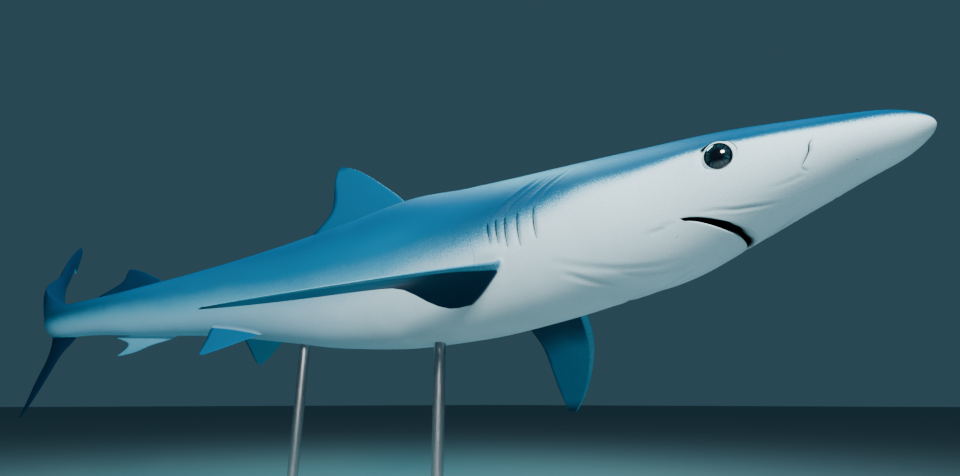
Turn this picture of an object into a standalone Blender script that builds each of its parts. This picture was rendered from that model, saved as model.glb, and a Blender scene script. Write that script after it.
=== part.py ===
"""A blue shark, whole, in a banked swimming turn on a plain two-rod display stand.

The shark is laid out straight first, in hundredths of its total length: station is the distance behind
the snout tip, lateral is positive to its right and height is above its axis. placed() then lays a
point of that layout along the bent and banked backbone, about which the front of the body is rolled.
Each ring, fin and cutter goes through it.
+X is forward, +Y the shark's left, +Z up, and the origin is under the middle of the stand's base.
"""

import math

import bmesh
import bpy
import numpy as np
from mathutils import Matrix, Vector

total_length = 2.40  # metres, along the backbone
unit = total_length / 100.0
gap = 0.0003
axis_height = 0.62  # metres from the floor to the backbone's axis
bank = math.radians(6.5)  # the plane of the turn, right side down
gap_units = gap / unit

# The body's own roll in degrees at named stations: its front shows its belly to the right.
roll_stations = ((0.0, 17.0), (22.0, 17.0), (36.0, 11.0), (50.0, 5.0), (61.0, 0.0), (100.0, 0.0))

snout_station = 0.18
snout_lift = 0.2

ring_points = 26
rod_points = 16
neck_station = 16.8
cut_stations = (neck_station, 24.0, 34.0, 49.2, 61.6, 75.6)
segment_names = ("gill_region", "trunk_front", "trunk_middle", "trunk_rear", "tail_stalk")
segment_rings = (6, 7, 9, 9, 10)

# Heading of the backbone in degrees at named stations, along the turn and the tail's beat.
heading_stations = (
    (0.0, -5.7),
    (13.0, -5.3),
    (21.0, 0.0),
    (36.0, 14.8),
    (50.0, 27.9),
    (64.0, 35.9),
    (70.0, 34.6),
    (74.0, 31.5),
    (76.4, 18.0),
    (78.4, 3.0),
    (80.5, -4.0),
    (86.0, -9.0),
    (94.0, -15.0),
    (100.0, -18.0),
)

# Body: station, height of the back, depth of the belly and half width at that station.
body_stations = (
    (0.18, 0.0, 0.0, 0.0),
    (0.6, 0.56, 0.44, 0.72),
    (1.5, 1.06, 0.82, 1.30),
    (3.0, 1.53, 1.15, 1.84),
    (5.0, 2.01, 1.78, 2.46),
    (8.0, 2.65, 2.85, 3.23),
    (12.0, 3.27, 4.30, 3.92),
    (16.0, 3.97, 4.87, 4.36),
    (21.0, 4.76, 5.57, 4.73),
    (28.0, 5.72, 6.20, 4.99),
    (34.0, 6.48, 6.32, 4.90),
    (42.0, 5.71, 5.76, 4.44),
    (50.0, 4.67, 4.45, 3.71),
    (58.0, 3.60, 3.17, 2.90),
    (66.0, 2.60, 2.45, 2.10),
    (72.0, 1.95, 1.85, 1.75),
    (76.0, 1.65, 1.75, 1.60),
)

# Upper lobe of the tail: station, height of its top edge, its thickest line and its lower edge, half width.
lobe_stations = (
    (75.6, 1.67, -0.05, -1.76, 1.60),
    (77.5, 2.25, 0.45, -1.70, 1.35),
    (80.0, 3.60, 1.50, -1.00, 0.95),
    (82.5, 4.95, 2.75, 0.75, 0.70),
    (86.0, 6.60, 4.60, 2.60, 0.52),
    (90.0, 8.70, 6.95, 4.95, 0.40),
    (94.0, 10.75, 9.05, 7.30, 0.30),
    (96.3, 11.85, 10.40, 9.10, 0.26),
    (97.2, 12.25, 10.80, 8.75, 0.24),
    (98.6, 12.80, 11.60, 10.30, 0.20),
    (99.6, 13.10, 12.40, 11.70, 0.14),
    (100.0, 13.05, 12.75, 12.40, 0.08),
)

# Fins: leading and trailing edges as (distance behind the origin, distance out from the root line).
fins = {
    "first_dorsal_fin": {
        "origin": (36.0, 0.0, 6.33),
        "thickness": 0.85,
        "slope": 0.116,
        "leading": ((-0.3, -0.8), (0.0, 0.0), (3.65, 3.95), (5.9, 5.9), (7.1, 6.7), (7.95, 7.05)),
        "trailing": (
            (6.9, -0.8),
            (7.4, 0.0),
            (11.25, 0.33),
            (10.0, 1.29),
            (9.0, 2.2),
            (8.75, 3.65),
            (8.8, 5.76),
            (8.35, 7.05),
        ),
    },
    "second_dorsal_fin": {
        "origin": (64.0, 0.0, 2.83),
        "thickness": 0.45,
        "slope": 0.12,
        "leading": ((0.2, -0.5), (0.0, 0.0), (1.5, 1.15), (2.8, 1.9), (3.7, 2.25)),
        "trailing": (
            (4.2, -0.5),
            (4.5, 0.0),
            (7.8, 0.15),
            (5.8, 0.75),
            (4.6, 1.25),
            (4.3, 1.95),
            (4.1, 2.25),
        ),
    },
    "anal_fin": {
        "origin": (62.2, 0.0, -2.85),
        "thickness": 0.45,
        "slope": 0.10,
        "leading": ((0.2, -0.5), (0.0, 0.0), (2.9, 0.95), (4.6, 1.64), (6.2, 2.0)),
        "trailing": ((4.4, -0.5), (4.7, 0.0), (7.5, 0.15), (5.7, 0.6), (5.5, 0.95), (6.0, 1.5), (6.7, 2.0)),
    },
    "caudal_fin_lower": {
        "origin": (74.2, 0.0, -1.70),
        "thickness": 0.75,
        "slope": 0.0,
        "leading": (
            (3.0, -2.2),
            (0.9, -0.9),
            (0.0, 0.0),
            (1.9, 1.9),
            (3.1, 4.2),
            (4.1, 6.2),
            (5.0, 7.8),
        ),
        "trailing": (
            (8.1, -2.2),
            (7.5, -0.9),
            (7.0, 0.0),
            (6.4, 1.9),
            (6.0, 4.2),
            (5.75, 6.2),
            (5.5, 7.8),
        ),
    },
    "pectoral_fin": {
        "origin": (21.4, 3.28, -2.62),
        "thickness": 0.75,
        "slope": 0.0,
        "leading": (
            (0.3, -1.6),
            (0.0, 0.0),
            (1.2, 3.3),
            (3.0, 7.0),
            (5.6, 10.8),
            (8.6, 14.2),
            (10.0, 15.4),
        ),
        "trailing": (
            (2.6, -1.6),
            (3.3, 0.0),
            (4.27, 0.9),
            (5.84, 1.8),
            (6.7, 2.6),
            (7.3, 3.4),
            (7.8, 5.8),
            (9.3, 9.4),
            (10.5, 13.0),
            (10.9, 15.4),
        ),
    },
    "pelvic_fin": {
        "origin": (50.6, 1.57, -3.72),
        "thickness": 0.40,
        "slope": 0.0,
        "leading": ((0.2, -0.9), (0.0, 0.0), (1.6, 1.25), (3.2, 2.4), (4.4, 3.05)),
        "trailing": ((3.8, -0.9), (4.0, 0.0), (5.6, 0.7), (5.2, 1.6), (4.8, 3.05)),
    },
}

# Paired fins: droop in degrees, the fall of the chord per unit of its length at the root and outboard,
# and how much more a fin droops by its tip.
paired_droop = {
    "pectoral_fin_right": (23.8, 0.62, 0.05, 0.0),
    "pectoral_fin_left": (5.7, 0.0, 0.08, 16.4),
    "pelvic_fin_right": (35.8, -0.25, -0.25, 0.0),
    "pelvic_fin_left": (47.0, -0.25, 0.10, 0.0),
}

# The lower lobe of the tail is stiff behind this station, and its tip lags to the right in the beat.
lower_lobe_hinge = 77.2
lower_lobe_lag = 2.0
upper_lobe_lag = 1.1  # the same for the upper lobe's front edge

eye_radius = 0.95
eye_depth = 0.69  # its center below the skin
eye_station = 7.6
eye_turn = math.radians(0.5)

mouth_front = 7.45
mouth_roundness = 1.8
jaw_front = 8.15
jaw_roundness = 1.8
mouth_corner = 10.2
mouth_half_width = 2.72
jaw_rear = 14.0
mouth_roof = -1.35

gill_stations = (18.45, 19.45, 20.49, 21.45, 22.38)
gill_heights = (-1.44, -1.20, -0.94, -0.60, -0.27)
gill_lengths = (2.82, 3.19, 3.41, 3.36, 2.96)
gill_leans = (0.22, 0.39, 0.59, 0.69, 0.64)  # how much further back the upper end is

nostril = (4.13, -0.63, 0.95, -0.62)  # station, height, length and how far its lower end trails

base_size = (0.96, 0.44, 0.026)  # metres
rod_radius = 0.011
rod_flange_radius = 0.034
rod_flange_height = 0.008
rod_stations = (31.5, 47.0)
rod_depth = 0.030  # how far a rod goes into the belly

colors = {
    "back": (0.035, 0.115, 0.23),
    "flank": (0.12, 0.27, 0.40),
    "belly": (0.78, 0.80, 0.80),
    "fin": (0.05, 0.13, 0.24),
    "eye": (0.01, 0.012, 0.016),
    "stand": (0.045, 0.047, 0.05),
    "rod": (0.62, 0.63, 0.64),
}


def curve_through(knots, values):
    """Monotone cubic through the knots, for arrays of rising positions."""
    x = np.array(knots, float)
    y = np.array(values, float)
    step = np.diff(x)
    slope = np.diff(y) / step
    tangent = np.zeros(len(x))
    tangent[0] = slope[0]
    tangent[-1] = slope[-1]
    for i in range(1, len(x) - 1):
        if slope[i - 1] * slope[i] > 0:
            w1 = 2 * step[i] + step[i - 1]
            w2 = step[i] + 2 * step[i - 1]
            tangent[i] = (w1 + w2) / (w1 / slope[i - 1] + w2 / slope[i])

    def at(position):
        p = min(max(position, x[0]), x[-1])
        i = min(int(np.searchsorted(x, p, side="right")) - 1, len(step) - 1)
        t = (p - x[i]) / step[i]
        a = (1 + 2 * t) * (1 - t) ** 2 * y[i]
        b = t * (1 - t) ** 2 * step[i] * tangent[i]
        c = t * t * (3 - 2 * t) * y[i + 1]
        d = t * t * (t - 1) * step[i] * tangent[i + 1]
        return float(a + b + c + d)

    return at


def backbone():
    """Positions, heading and roll along the bent axis, as arrays over the stations."""
    heading = curve_through(*zip(*heading_stations))
    stations = np.linspace(-1.0, 101.0, 1021)
    angles = np.radians([heading(s) for s in stations])
    step = stations[1] - stations[0]
    mid = (angles[1:] + angles[:-1]) / 2
    x = np.concatenate([[0.0], np.cumsum(-np.cos(mid) * step)])
    y = np.concatenate([[0.0], np.cumsum(-np.sin(mid) * step)])
    middle = sum(rod_stations) / 2
    x -= np.interp(middle, stations, x)
    y -= np.interp(middle, stations, y)
    roll = curve_through(*zip(*roll_stations))
    return stations, x, y, angles, np.radians([roll(s) for s in stations])


axis_stations, axis_x, axis_y, axis_angle, axis_roll = backbone()


def placed(station, lateral, height, hinge=None):
    """Point of the straight layout on the bent, banked shark. With a hinge, stiff behind that station."""
    at = station if hinge is None else min(station, hinge)
    angle = np.interp(at, axis_stations, axis_angle)
    behind = station - at
    roll = np.interp(at, axis_stations, axis_roll)
    across = lateral * math.cos(roll) - height * math.sin(roll)
    up = height * math.cos(roll) + lateral * math.sin(roll)
    x = np.interp(at, axis_stations, axis_x) - behind * math.cos(angle) + across * math.sin(angle)
    y = np.interp(at, axis_stations, axis_y) - behind * math.sin(angle) - across * math.cos(angle)
    banked_y = y * math.cos(bank) - up * math.sin(bank)
    banked_z = y * math.sin(bank) + up * math.cos(bank)
    return Vector((x * unit, banked_y * unit, banked_z * unit + axis_height))


root_knots = [math.sqrt(row[0] - snout_station) for row in body_stations]
back_height = curve_through(root_knots, [row[1] for row in body_stations])
belly_depth = curve_through(root_knots, [row[2] for row in body_stations])
half_width = curve_through(root_knots, [row[3] for row in body_stations])
lobe_knots = [row[0] for row in lobe_stations]
lobe_top = curve_through(lobe_knots, [row[1] for row in lobe_stations])
lobe_line = curve_through(lobe_knots, [row[2] for row in lobe_stations])
lobe_low = curve_through(lobe_knots, [row[3] for row in lobe_stations])
lobe_half = curve_through(lobe_knots, [row[4] for row in lobe_stations])


def signed_power(value, power):
    return math.copysign(abs(value) ** power, value)


def root_of(station):
    """The body's sizes grow with the square root of the way from the snout, which rounds its tip."""
    return math.sqrt(max(station - snout_station, 0.0))


def lift(station):
    """How far the snout's tip is carried above the axis."""
    return snout_lift * max(0.0, 1.0 - station / 5.0) ** 2


def body_point(station, turn, swell=0.0):
    """Lateral and height on the body's section. A turn of 0 is the right side and 90 degrees the back."""
    root = root_of(station)
    half = half_width(root) + swell
    reach = back_height(root) if math.sin(turn) > 0 else belly_depth(root)
    height = (reach + swell) * math.sin(turn) + lift(station)
    return half * signed_power(math.cos(turn), 0.9), height


def lobe_point(station, turn, swell=0.0):
    """Lateral and height on a section of the tail's upper lobe, a lens that is round at its root."""
    line = lobe_line(station)
    top = lobe_top(station) + swell - line
    low = line - lobe_low(station) + swell
    sharp = 0.9 + 0.9 * min(1.0, (station - cut_stations[-1]) / 6.0)
    half = lobe_half(station) + swell
    reach = top if math.sin(turn) > 0 else low
    swing = math.sin(math.pi * min(1.0, max(0.0, (station - cut_stations[-1]) / 11.0))) ** 2
    lag = upper_lobe_lag * swing * max(0.0, math.sin(turn))
    return half * signed_power(math.cos(turn), sharp) + lag, line + reach * math.sin(turn)


def new_object(name, bm, collection):
    bmesh.ops.recalc_face_normals(bm, faces=bm.faces)
    mesh = bpy.data.meshes.new(name)
    bm.to_mesh(mesh)
    bm.free()
    obj = bpy.data.objects.new(name, mesh)
    collection.objects.link(obj)
    return obj


def next_ring(bm, edges, points):
    """Extrudes a ring of edges onto new points, given in the ring's own order, and returns the new ring."""
    old = {v: v.index for e in edges for v in e.verts}
    made = bmesh.ops.extrude_edge_only(bm, edges=edges)["geom"]
    new_edges = [g for g in made if isinstance(g, bmesh.types.BMEdge)]
    new_verts = {g for g in made if isinstance(g, bmesh.types.BMVert)}
    for vert in new_verts:
        place = next(e.other_vert(vert) for e in vert.link_edges if e.other_vert(vert) in old)
        vert.co = points[old[place]]
        vert.index = old[place]
    return [e for e in new_edges if all(v in new_verts for v in e.verts)]


def loft(rings, start_tip=None, end_tip=None):
    """Closed body through rings of points, each end capped flat or drawn to a tip point."""
    bm = bmesh.new()
    bmesh.ops.create_circle(bm, cap_ends=False, radius=1.0, segments=len(rings[0]))
    bm.verts.ensure_lookup_table()
    for vert, point in zip(bm.verts, rings[0]):
        vert.co = point
    bm.verts.index_update()
    edges = list(bm.edges)
    ends = [edges]
    for points in rings[1:]:
        edges = next_ring(bm, edges, points)
    ends.append(edges)
    for edges, tip in zip(ends, (start_tip, end_tip)):
        face = bmesh.ops.contextual_create(bm, geom=edges)["faces"]
        if tip is not None:
            poked = bmesh.ops.poke(bm, faces=face)
            poked["verts"][0].co = tip
    return bm


def turns(count=ring_points):
    return [2 * math.pi * i / count for i in range(count)]


def body_ring(station, swell=0.0):
    return [placed(station, *body_point(station, turn, swell)) for turn in turns()]


def lobe_ring(station, swell=0.0):
    return [placed(station, *lobe_point(station, turn, swell)) for turn in turns()]


def head_stations():
    """Rings from the snout to the neck, closer together towards the rounded tip."""
    length = neck_station - snout_station
    return [snout_station + max(0.03, length * (i / 13) ** 1.8) for i in range(14)]


def segment_stations(index):
    start = cut_stations[index] + gap_units
    return list(np.linspace(start, cut_stations[index + 1], segment_rings[index]))


def snout_tip(swell=0.0):
    return placed(snout_station - swell, 0.0, lift(snout_station))


def make_body_form(collection):
    """The whole body a gap larger all round, which trims what meets its skin."""
    stations = head_stations()
    for index in range(len(segment_names)):
        stations += segment_stations(index)[1:]
    rings = [body_ring(s, gap_units) for s in stations]
    obj = new_object("form_body", loft(rings, start_tip=snout_tip(gap_units)), collection)
    return mark_as_cutter(obj)


def make_lobe_form(collection):
    stations = [cut_stations[-1] - 0.3, *upper_lobe_stations(cut_stations[-1] + gap_units)]
    rings = [lobe_ring(s, gap_units) for s in stations]
    return mark_as_cutter(new_object("form_lobe", loft(rings), collection))


def mark_as_cutter(obj):
    obj.hide_render = True
    obj.display_type = "WIRE"
    return obj


def upper_lobe_stations(start):
    """Rings of the lobe: close together at its root and at the notch near its tip."""
    inner = [76.5, 77.2, 77.9, 78.6, 79.3, 80.0, 81.3, 83.2, 85.4, 87.8, 90.2, 92.6, 94.6]
    inner += [95.8, 96.6, 97.3, 98.2, 99.1]
    return [start, *inner, 99.85]


def cut(obj, cutter, operation="DIFFERENCE"):
    modifier = obj.modifiers.new(f"{operation.lower()}_{cutter.name}", "BOOLEAN")
    modifier.operation = operation
    modifier.solver = "EXACT"
    modifier.object = cutter
    return obj


def fin_levels(reach, root):
    """Distances out from the root line: one inside the body, close at the rear lobe and at the tip."""
    shares = (0.0, 0.035, 0.08, 0.14, 0.22, 0.33, 0.45, 0.58, 0.71, 0.83, 0.92, 0.975, 1.0)
    return [root, root * 0.5, *(reach * share for share in shares)]


def fin_ring(name, fin, out, side):
    """One section of a fin at a distance out, as a ring that starts at the leading edge."""
    lead = curve_through([p[1] for p in fin["leading"]], [p[0] for p in fin["leading"]])(out)
    trail = curve_through([p[1] for p in fin["trailing"]], [p[0] for p in fin["trailing"]])(out)
    taper = max(0.0, 1.0 - max(out, 0.0) / fin["leading"][-1][1])
    thick = 0.09 + (fin["thickness"] - 0.09) * taper**1.1
    shares = (0.03, 0.11, 0.25, 0.45, 0.7, 1.0)
    outline = [(0.0, 0.0)]
    outline += [(share, fin_half(share, thick)) for share in shares]
    outline += [(share, -fin_half(share, thick)) for share in reversed(shares)]
    return [fin_point(name, fin, lead, trail - lead, out, share, half, side) for share, half in outline]


def fin_point(name, fin, lead, chord, out, share, half, side):
    """Point of a fin: out from its root line, a share of the chord back, half a thickness to one face."""
    station, lateral, height = fin["origin"]
    along = lead + chord * share
    if name in paired_droop:
        droop, root_fall, outer_fall, bend = paired_droop[name]
        slant = math.radians(droop + bend * max(0.0, out) / fin["leading"][-1][1])
        c = math.cos(slant)
        s = -math.sin(slant)
        roll = np.interp(station, axis_stations, axis_roll)
        blend = min(1.0, max(0.0, (out - 0.6) / 3.0))
        blend = blend * blend * (3.0 - 2.0 * blend)
        fall = (root_fall + (outer_fall - root_fall) * blend) * chord * share
        across = lateral + out * c - half * s - side * fall * math.sin(roll)
        up = height + out * s + half * c - fall * math.cos(roll)
        return placed(station + along, side * across, up, station)
    down = -1.0 if height < 0 else 1.0
    up = height + down * (out - fin["slope"] * along)
    if name != "caudal_fin_lower":
        return placed(station + along, half, up)
    free = min(1.0, max(0.0, out / 4.0)) ** 2
    lag = lower_lobe_lag * (max(0.0, out) / fin["leading"][-1][1]) ** 1.5
    stiff = placed(station + along, half + lag, up, lower_lobe_hinge)
    return placed(station + along, half + lag, up).lerp(stiff, free)


def fin_half(share, thick):
    """Half thickness across a fin's chord, round in front and thin behind."""
    thin = 0.018
    return max(thin, thick * 0.5 * 1.93 * math.sqrt(share) * (1.0 - share) ** 0.85)


def make_fin(name, fin, collection, forms, side=1.0):
    reach = fin["leading"][-1][1]
    rings = [fin_ring(name, fin, out, side) for out in fin_levels(reach, fin["leading"][0][1])]
    obj = new_object(name, loft(rings), collection)
    for form in forms:
        cut(obj, form)
    return obj


def jaw_outline(front, roundness, width, rear):
    """Plan of a mouth: a superellipse between its corners, then straight sides that spread a little."""
    points = []
    for i in range(17):
        turn = math.pi * (i / 16 - 0.5)
        lateral = width * signed_power(math.sin(turn), 2 / roundness)
        ahead = abs(math.cos(turn)) ** (2 / roundness)
        points.append((mouth_corner - (mouth_corner - front) * ahead, lateral))
    points.append((rear, width + 0.3))
    points.append((rear, -width - 0.3))
    return points


def make_jaw_block(name, outline, roof, collection):
    rings = [[placed(s, lat, z) for s, lat in outline] for z in (-7.0, roof)]
    return mark_as_cutter(new_object(name, loft(rings), collection))


def make_ball(name, center, radius, collection):
    bm = bmesh.new()
    bmesh.ops.create_uvsphere(bm, u_segments=16, v_segments=10, radius=radius)
    bmesh.ops.rotate(bm, verts=bm.verts, matrix=Matrix.Rotation(math.pi / 2, 3, "X"))
    bmesh.ops.translate(bm, verts=bm.verts, vec=center)
    return new_object(name, bm, collection)


def make_blade(name, layout, bow, width, depth, side, collection):
    """A thin upright slab that follows the flank, for a gill slit or a nostril."""
    station, height, length, lean = layout
    rings = []
    for i in range(7):
        share = i / 6 - 0.5
        up = height + length * share
        at = station + lean * share - bow * (1 - 4 * share * share)
        root = root_of(at)
        reach = back_height(root) if up > 0 else belly_depth(root)
        skin = half_width(root) * math.sqrt(max(0.0, 1.0 - (up / reach) ** 2)) ** 0.9
        slim = width * (0.35 + 0.65 * math.cos(math.pi * share))
        corners = ((-slim, 0.6), (slim, 0.6), (slim, -depth), (-slim, -depth))
        rings.append([placed(at + a, side * (skin + b), up) for a, b in corners])
    return mark_as_cutter(new_object(name, loft(rings), collection))


def make_rod(name, station, collection, cutters):
    """Vertical rod with a low flange on the base, its upper end inside a socket in the belly."""
    foot = placed(station, 0.0, -belly_depth(root_of(station)))
    top = foot.z + rod_depth
    bottom = base_size[2] + gap
    profile = (
        (rod_flange_radius, bottom),
        (rod_flange_radius, bottom + rod_flange_height * 0.6),
        (rod_flange_radius - 0.004, bottom + rod_flange_height),
        (rod_radius, bottom + rod_flange_height),
        (rod_radius, top - 0.002),
        (rod_radius - 0.002, top),
    )
    rings = [circle(foot.x, foot.y, z, radius) for radius, z in profile]
    rod = new_object(name, loft(rings), collection)
    socket = [circle(foot.x, foot.y, z, rod_radius + gap) for z in (foot.z - 0.08, top + gap)]
    cutter = new_object(f"socket_{name}", loft(socket), cutters)
    return rod, mark_as_cutter(cutter)


def circle(x, y, z, radius):
    return [Vector((x + radius * math.cos(t), y + radius * math.sin(t), z)) for t in turns(rod_points)]


def make_base(collection):
    bm = bmesh.new()
    bmesh.ops.create_cube(bm, size=1.0)
    bmesh.ops.scale(bm, verts=bm.verts, vec=base_size)
    bmesh.ops.translate(bm, verts=bm.verts, vec=(0.0, 0.0, base_size[2] / 2))
    upright = [e for e in bm.edges if abs(e.verts[0].co.z - e.verts[1].co.z) > 0.01]
    bmesh.ops.bevel(bm, geom=upright, offset=0.05, segments=6, profile=0.5, affect="EDGES")
    top = [e for e in bm.edges if min(v.co.z for v in e.verts) > base_size[2] - 1e-6]
    bmesh.ops.bevel(bm, geom=top, offset=0.004, segments=2, profile=0.5, affect="EDGES")
    return new_object("stand_base", bm, collection)


def make_material(name, color, roughness, metallic=0.0):
    material = bpy.data.materials.new(name)
    material.use_nodes = True
    shader = material.node_tree.nodes["Principled BSDF"]
    shader.inputs["Base Color"].default_value = (*color, 1.0)
    shader.inputs["Roughness"].default_value = roughness
    shader.inputs["Metallic"].default_value = metallic
    material.diffuse_color = (*color, 1.0)
    return material


def finish(obj, material):
    obj.data.materials.clear()
    obj.data.materials.append(material)
    obj.data.shade_smooth()
    obj.data.set_sharp_from_angle(angle=math.radians(35))


def make_head(parts, cutters):
    stations = head_stations()
    head = new_object("head", loft([body_ring(s) for s in stations], start_tip=snout_tip()), parts)
    outline = jaw_outline(mouth_front, mouth_roundness, mouth_half_width + gap_units, jaw_rear + gap_units)
    cut(head, make_jaw_block("space_jaw", outline, mouth_roof, cutters))
    made = [head]
    for side, hand in ((1.0, "right"), (-1.0, "left")):
        lateral, height = body_point(eye_station, eye_turn)
        lateral -= eye_depth * math.cos(eye_turn)
        height -= eye_depth * math.sin(eye_turn)
        center = placed(eye_station + 0.05, side * lateral, height)
        made.append(make_ball(f"eye_{hand}", center, eye_radius * unit, parts))
        socket = make_ball(f"socket_eye_{hand}", center, eye_radius * unit + 1.2 * gap, cutters)
        cut(head, mark_as_cutter(socket))
        cut(head, make_blade(f"slot_nostril_{hand}", nostril, 0.0, 0.05, 0.3, side, cutters))
    return made


def make_lower_jaw(parts, cutters):
    stations = [s for s in head_stations() if s > 5.0]
    jaw = new_object("lower_jaw", loft([body_ring(s) for s in stations]), parts)
    outline = jaw_outline(jaw_front, jaw_roundness, mouth_half_width - 0.03, jaw_rear)
    outline = [(s + 0.05 if s < jaw_rear else s, lat) for s, lat in outline]
    block = make_jaw_block("block_jaw", outline, mouth_roof - 2 * gap_units, cutters)
    return cut(jaw, block, "INTERSECT")


def make_segments(parts, cutters):
    made = []
    for index, name in enumerate(segment_names):
        rings = [body_ring(s) for s in segment_stations(index)]
        made.append(new_object(name, loft(rings), parts))
    for side, hand in ((1.0, "right"), (-1.0, "left")):
        for number, station in enumerate(gill_stations):
            layout = (station, gill_heights[number], gill_lengths[number], gill_leans[number])
            slot = f"slot_gill_{hand}_{number + 1}"
            cut(made[0], make_blade(slot, layout, 0.17, 0.04, 0.35, side, cutters))
    return made


def make_stand(parts, cutters, segments):
    base = make_base(parts)
    rods = []
    for station, place in zip(rod_stations, ("front", "rear")):
        rod, socket = make_rod(f"stand_rod_{place}", station, parts, cutters)
        rods.append(rod)
        for index, segment in enumerate(segments):
            if cut_stations[index] < station < cut_stations[index + 1]:
                cut(segment, socket)
    return base, rods


def make_fins(parts, cutters):
    body = make_body_form(cutters)
    lobe = make_lobe_form(cutters)
    made = []
    for name in ("first_dorsal_fin", "second_dorsal_fin", "anal_fin"):
        made.append(make_fin(name, fins[name], parts, [body]))
    made.append(make_fin("caudal_fin_lower", fins["caudal_fin_lower"], parts, [body, lobe]))
    for side, hand in ((1.0, "right"), (-1.0, "left")):
        made.append(make_fin(f"pectoral_fin_{hand}", fins["pectoral_fin"], parts, [body], side))
        made.append(make_fin(f"pelvic_fin_{hand}", fins["pelvic_fin"], parts, [body], side))
    stations = upper_lobe_stations(cut_stations[-1] + gap_units)
    made.append(new_object("caudal_fin_upper", loft([lobe_ring(s) for s in stations]), parts))
    return made


def main():
    for obj in list(bpy.data.objects):
        bpy.data.objects.remove(obj, do_unlink=True)
    parts = bpy.data.collections.new("blue_shark_on_stand")
    cutters = bpy.data.collections.new("cutters")
    bpy.context.scene.collection.children.link(parts)
    bpy.context.scene.collection.children.link(cutters)
    head, eye_right, eye_left = make_head(parts, cutters)
    jaw = make_lower_jaw(parts, cutters)
    segments = make_segments(parts, cutters)
    shark_fins = make_fins(parts, cutters)
    base, rods = make_stand(parts, cutters, segments)
    finish(head, make_material("skin_head", colors["flank"], 0.45))
    finish(jaw, make_material("skin_jaw", colors["belly"], 0.45))
    for eye in (eye_right, eye_left):
        finish(eye, make_material(f"{eye.name}_gloss", colors["eye"], 0.08))
    for segment in segments:
        finish(segment, make_material(f"skin_{segment.name}", colors["back"], 0.45))
    for fin in shark_fins:
        finish(fin, make_material(f"skin_{fin.name}", colors["fin"], 0.45))
    finish(base, make_material("stand_black", colors["stand"], 0.4))
    for rod in rods:
        finish(rod, make_material(f"{rod.name}_steel", colors["rod"], 0.3, 1.0))


main()
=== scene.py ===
# A blue shark in a banked turn, held over a plain two-rod display stand.
import math

import bmesh
import bpy
import numpy as np
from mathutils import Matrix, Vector


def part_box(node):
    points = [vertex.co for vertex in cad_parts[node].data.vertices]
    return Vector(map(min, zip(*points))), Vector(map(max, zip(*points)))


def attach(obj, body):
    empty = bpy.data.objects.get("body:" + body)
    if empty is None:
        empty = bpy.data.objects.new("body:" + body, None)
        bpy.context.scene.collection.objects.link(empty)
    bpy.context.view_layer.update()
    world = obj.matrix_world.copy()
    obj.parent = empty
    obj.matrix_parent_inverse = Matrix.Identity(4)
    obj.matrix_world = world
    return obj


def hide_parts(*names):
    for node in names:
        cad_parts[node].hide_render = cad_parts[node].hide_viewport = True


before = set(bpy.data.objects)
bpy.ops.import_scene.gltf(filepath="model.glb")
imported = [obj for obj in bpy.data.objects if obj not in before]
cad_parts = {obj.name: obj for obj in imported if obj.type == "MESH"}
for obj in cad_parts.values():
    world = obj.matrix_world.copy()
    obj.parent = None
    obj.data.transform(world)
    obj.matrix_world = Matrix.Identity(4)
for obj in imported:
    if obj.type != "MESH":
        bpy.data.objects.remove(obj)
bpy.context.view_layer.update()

# The straight layout: stations are hundredths of the length behind the snout, lateral is to the shark's
# right, heights are above its axis. placed() lays it along the bent and banked backbone, and rolls it.
shark = {
    "unit": 0.024,
    "axisHeight": 0.62,
    "bank": math.radians(6.5),
    "roll": ((0, 17), (22, 17), (36, 11), (50, 5), (61, 0), (100, 0)),
    "middle": 39.25,
    "snout": 0.18,
    "snoutLift": 0.2,
    "liftEnd": 5,
    # the power of the cosine that gives a section its sides
    "sides": 0.9,
    "lobeStart": 75.6,
    "lobeLag": 1.1,
    "heading": (
        (0, -5.7), (13, -5.3), (21, 0), (36, 14.8), (50, 27.9), (64, 35.9), (70, 34.6), (74, 31.5),
        (76.4, 18), (78.4, 3), (80.5, -4), (86, -9), (94, -15), (100, -18),
    ),
    # station, back, belly, half width
    "body": (
        (0.18, 0, 0, 0), (0.6, 0.56, 0.44, 0.72), (1.5, 1.06, 0.82, 1.3), (3, 1.53, 1.15, 1.84),
        (5, 2.01, 1.78, 2.46), (8, 2.65, 2.85, 3.23), (12, 3.27, 4.3, 3.92), (16, 3.97, 4.87, 4.36),
        (21, 4.76, 5.57, 4.73), (28, 5.72, 6.2, 4.99), (34, 6.48, 6.32, 4.9), (42, 5.71, 5.76, 4.44),
        (50, 4.67, 4.45, 3.71), (58, 3.6, 3.17, 2.9), (66, 2.6, 2.45, 2.1), (72, 1.95, 1.85, 1.75),
        (76, 1.65, 1.75, 1.6),
    ),
    # station, top edge, thickest line, lower edge, half width of the tail's upper lobe
    "lobe": (
        (75.6, 1.67, -0.05, -1.76, 1.6), (77.5, 2.25, 0.45, -1.7, 1.35), (80, 3.6, 1.5, -1, 0.95),
        (82.5, 4.95, 2.75, 0.75, 0.7), (86, 6.6, 4.6, 2.6, 0.52), (90, 8.7, 6.95, 4.95, 0.4),
        (94, 10.75, 9.05, 7.3, 0.3), (96.3, 11.85, 10.4, 9.1, 0.26), (97.2, 12.25, 10.8, 8.75, 0.24),
        (98.6, 12.8, 11.6, 10.3, 0.2), (99.6, 13.1, 12.4, 11.7, 0.14), (100, 13.05, 12.75, 12.4, 0.08),
    ),
}
unit = shark["unit"]


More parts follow.
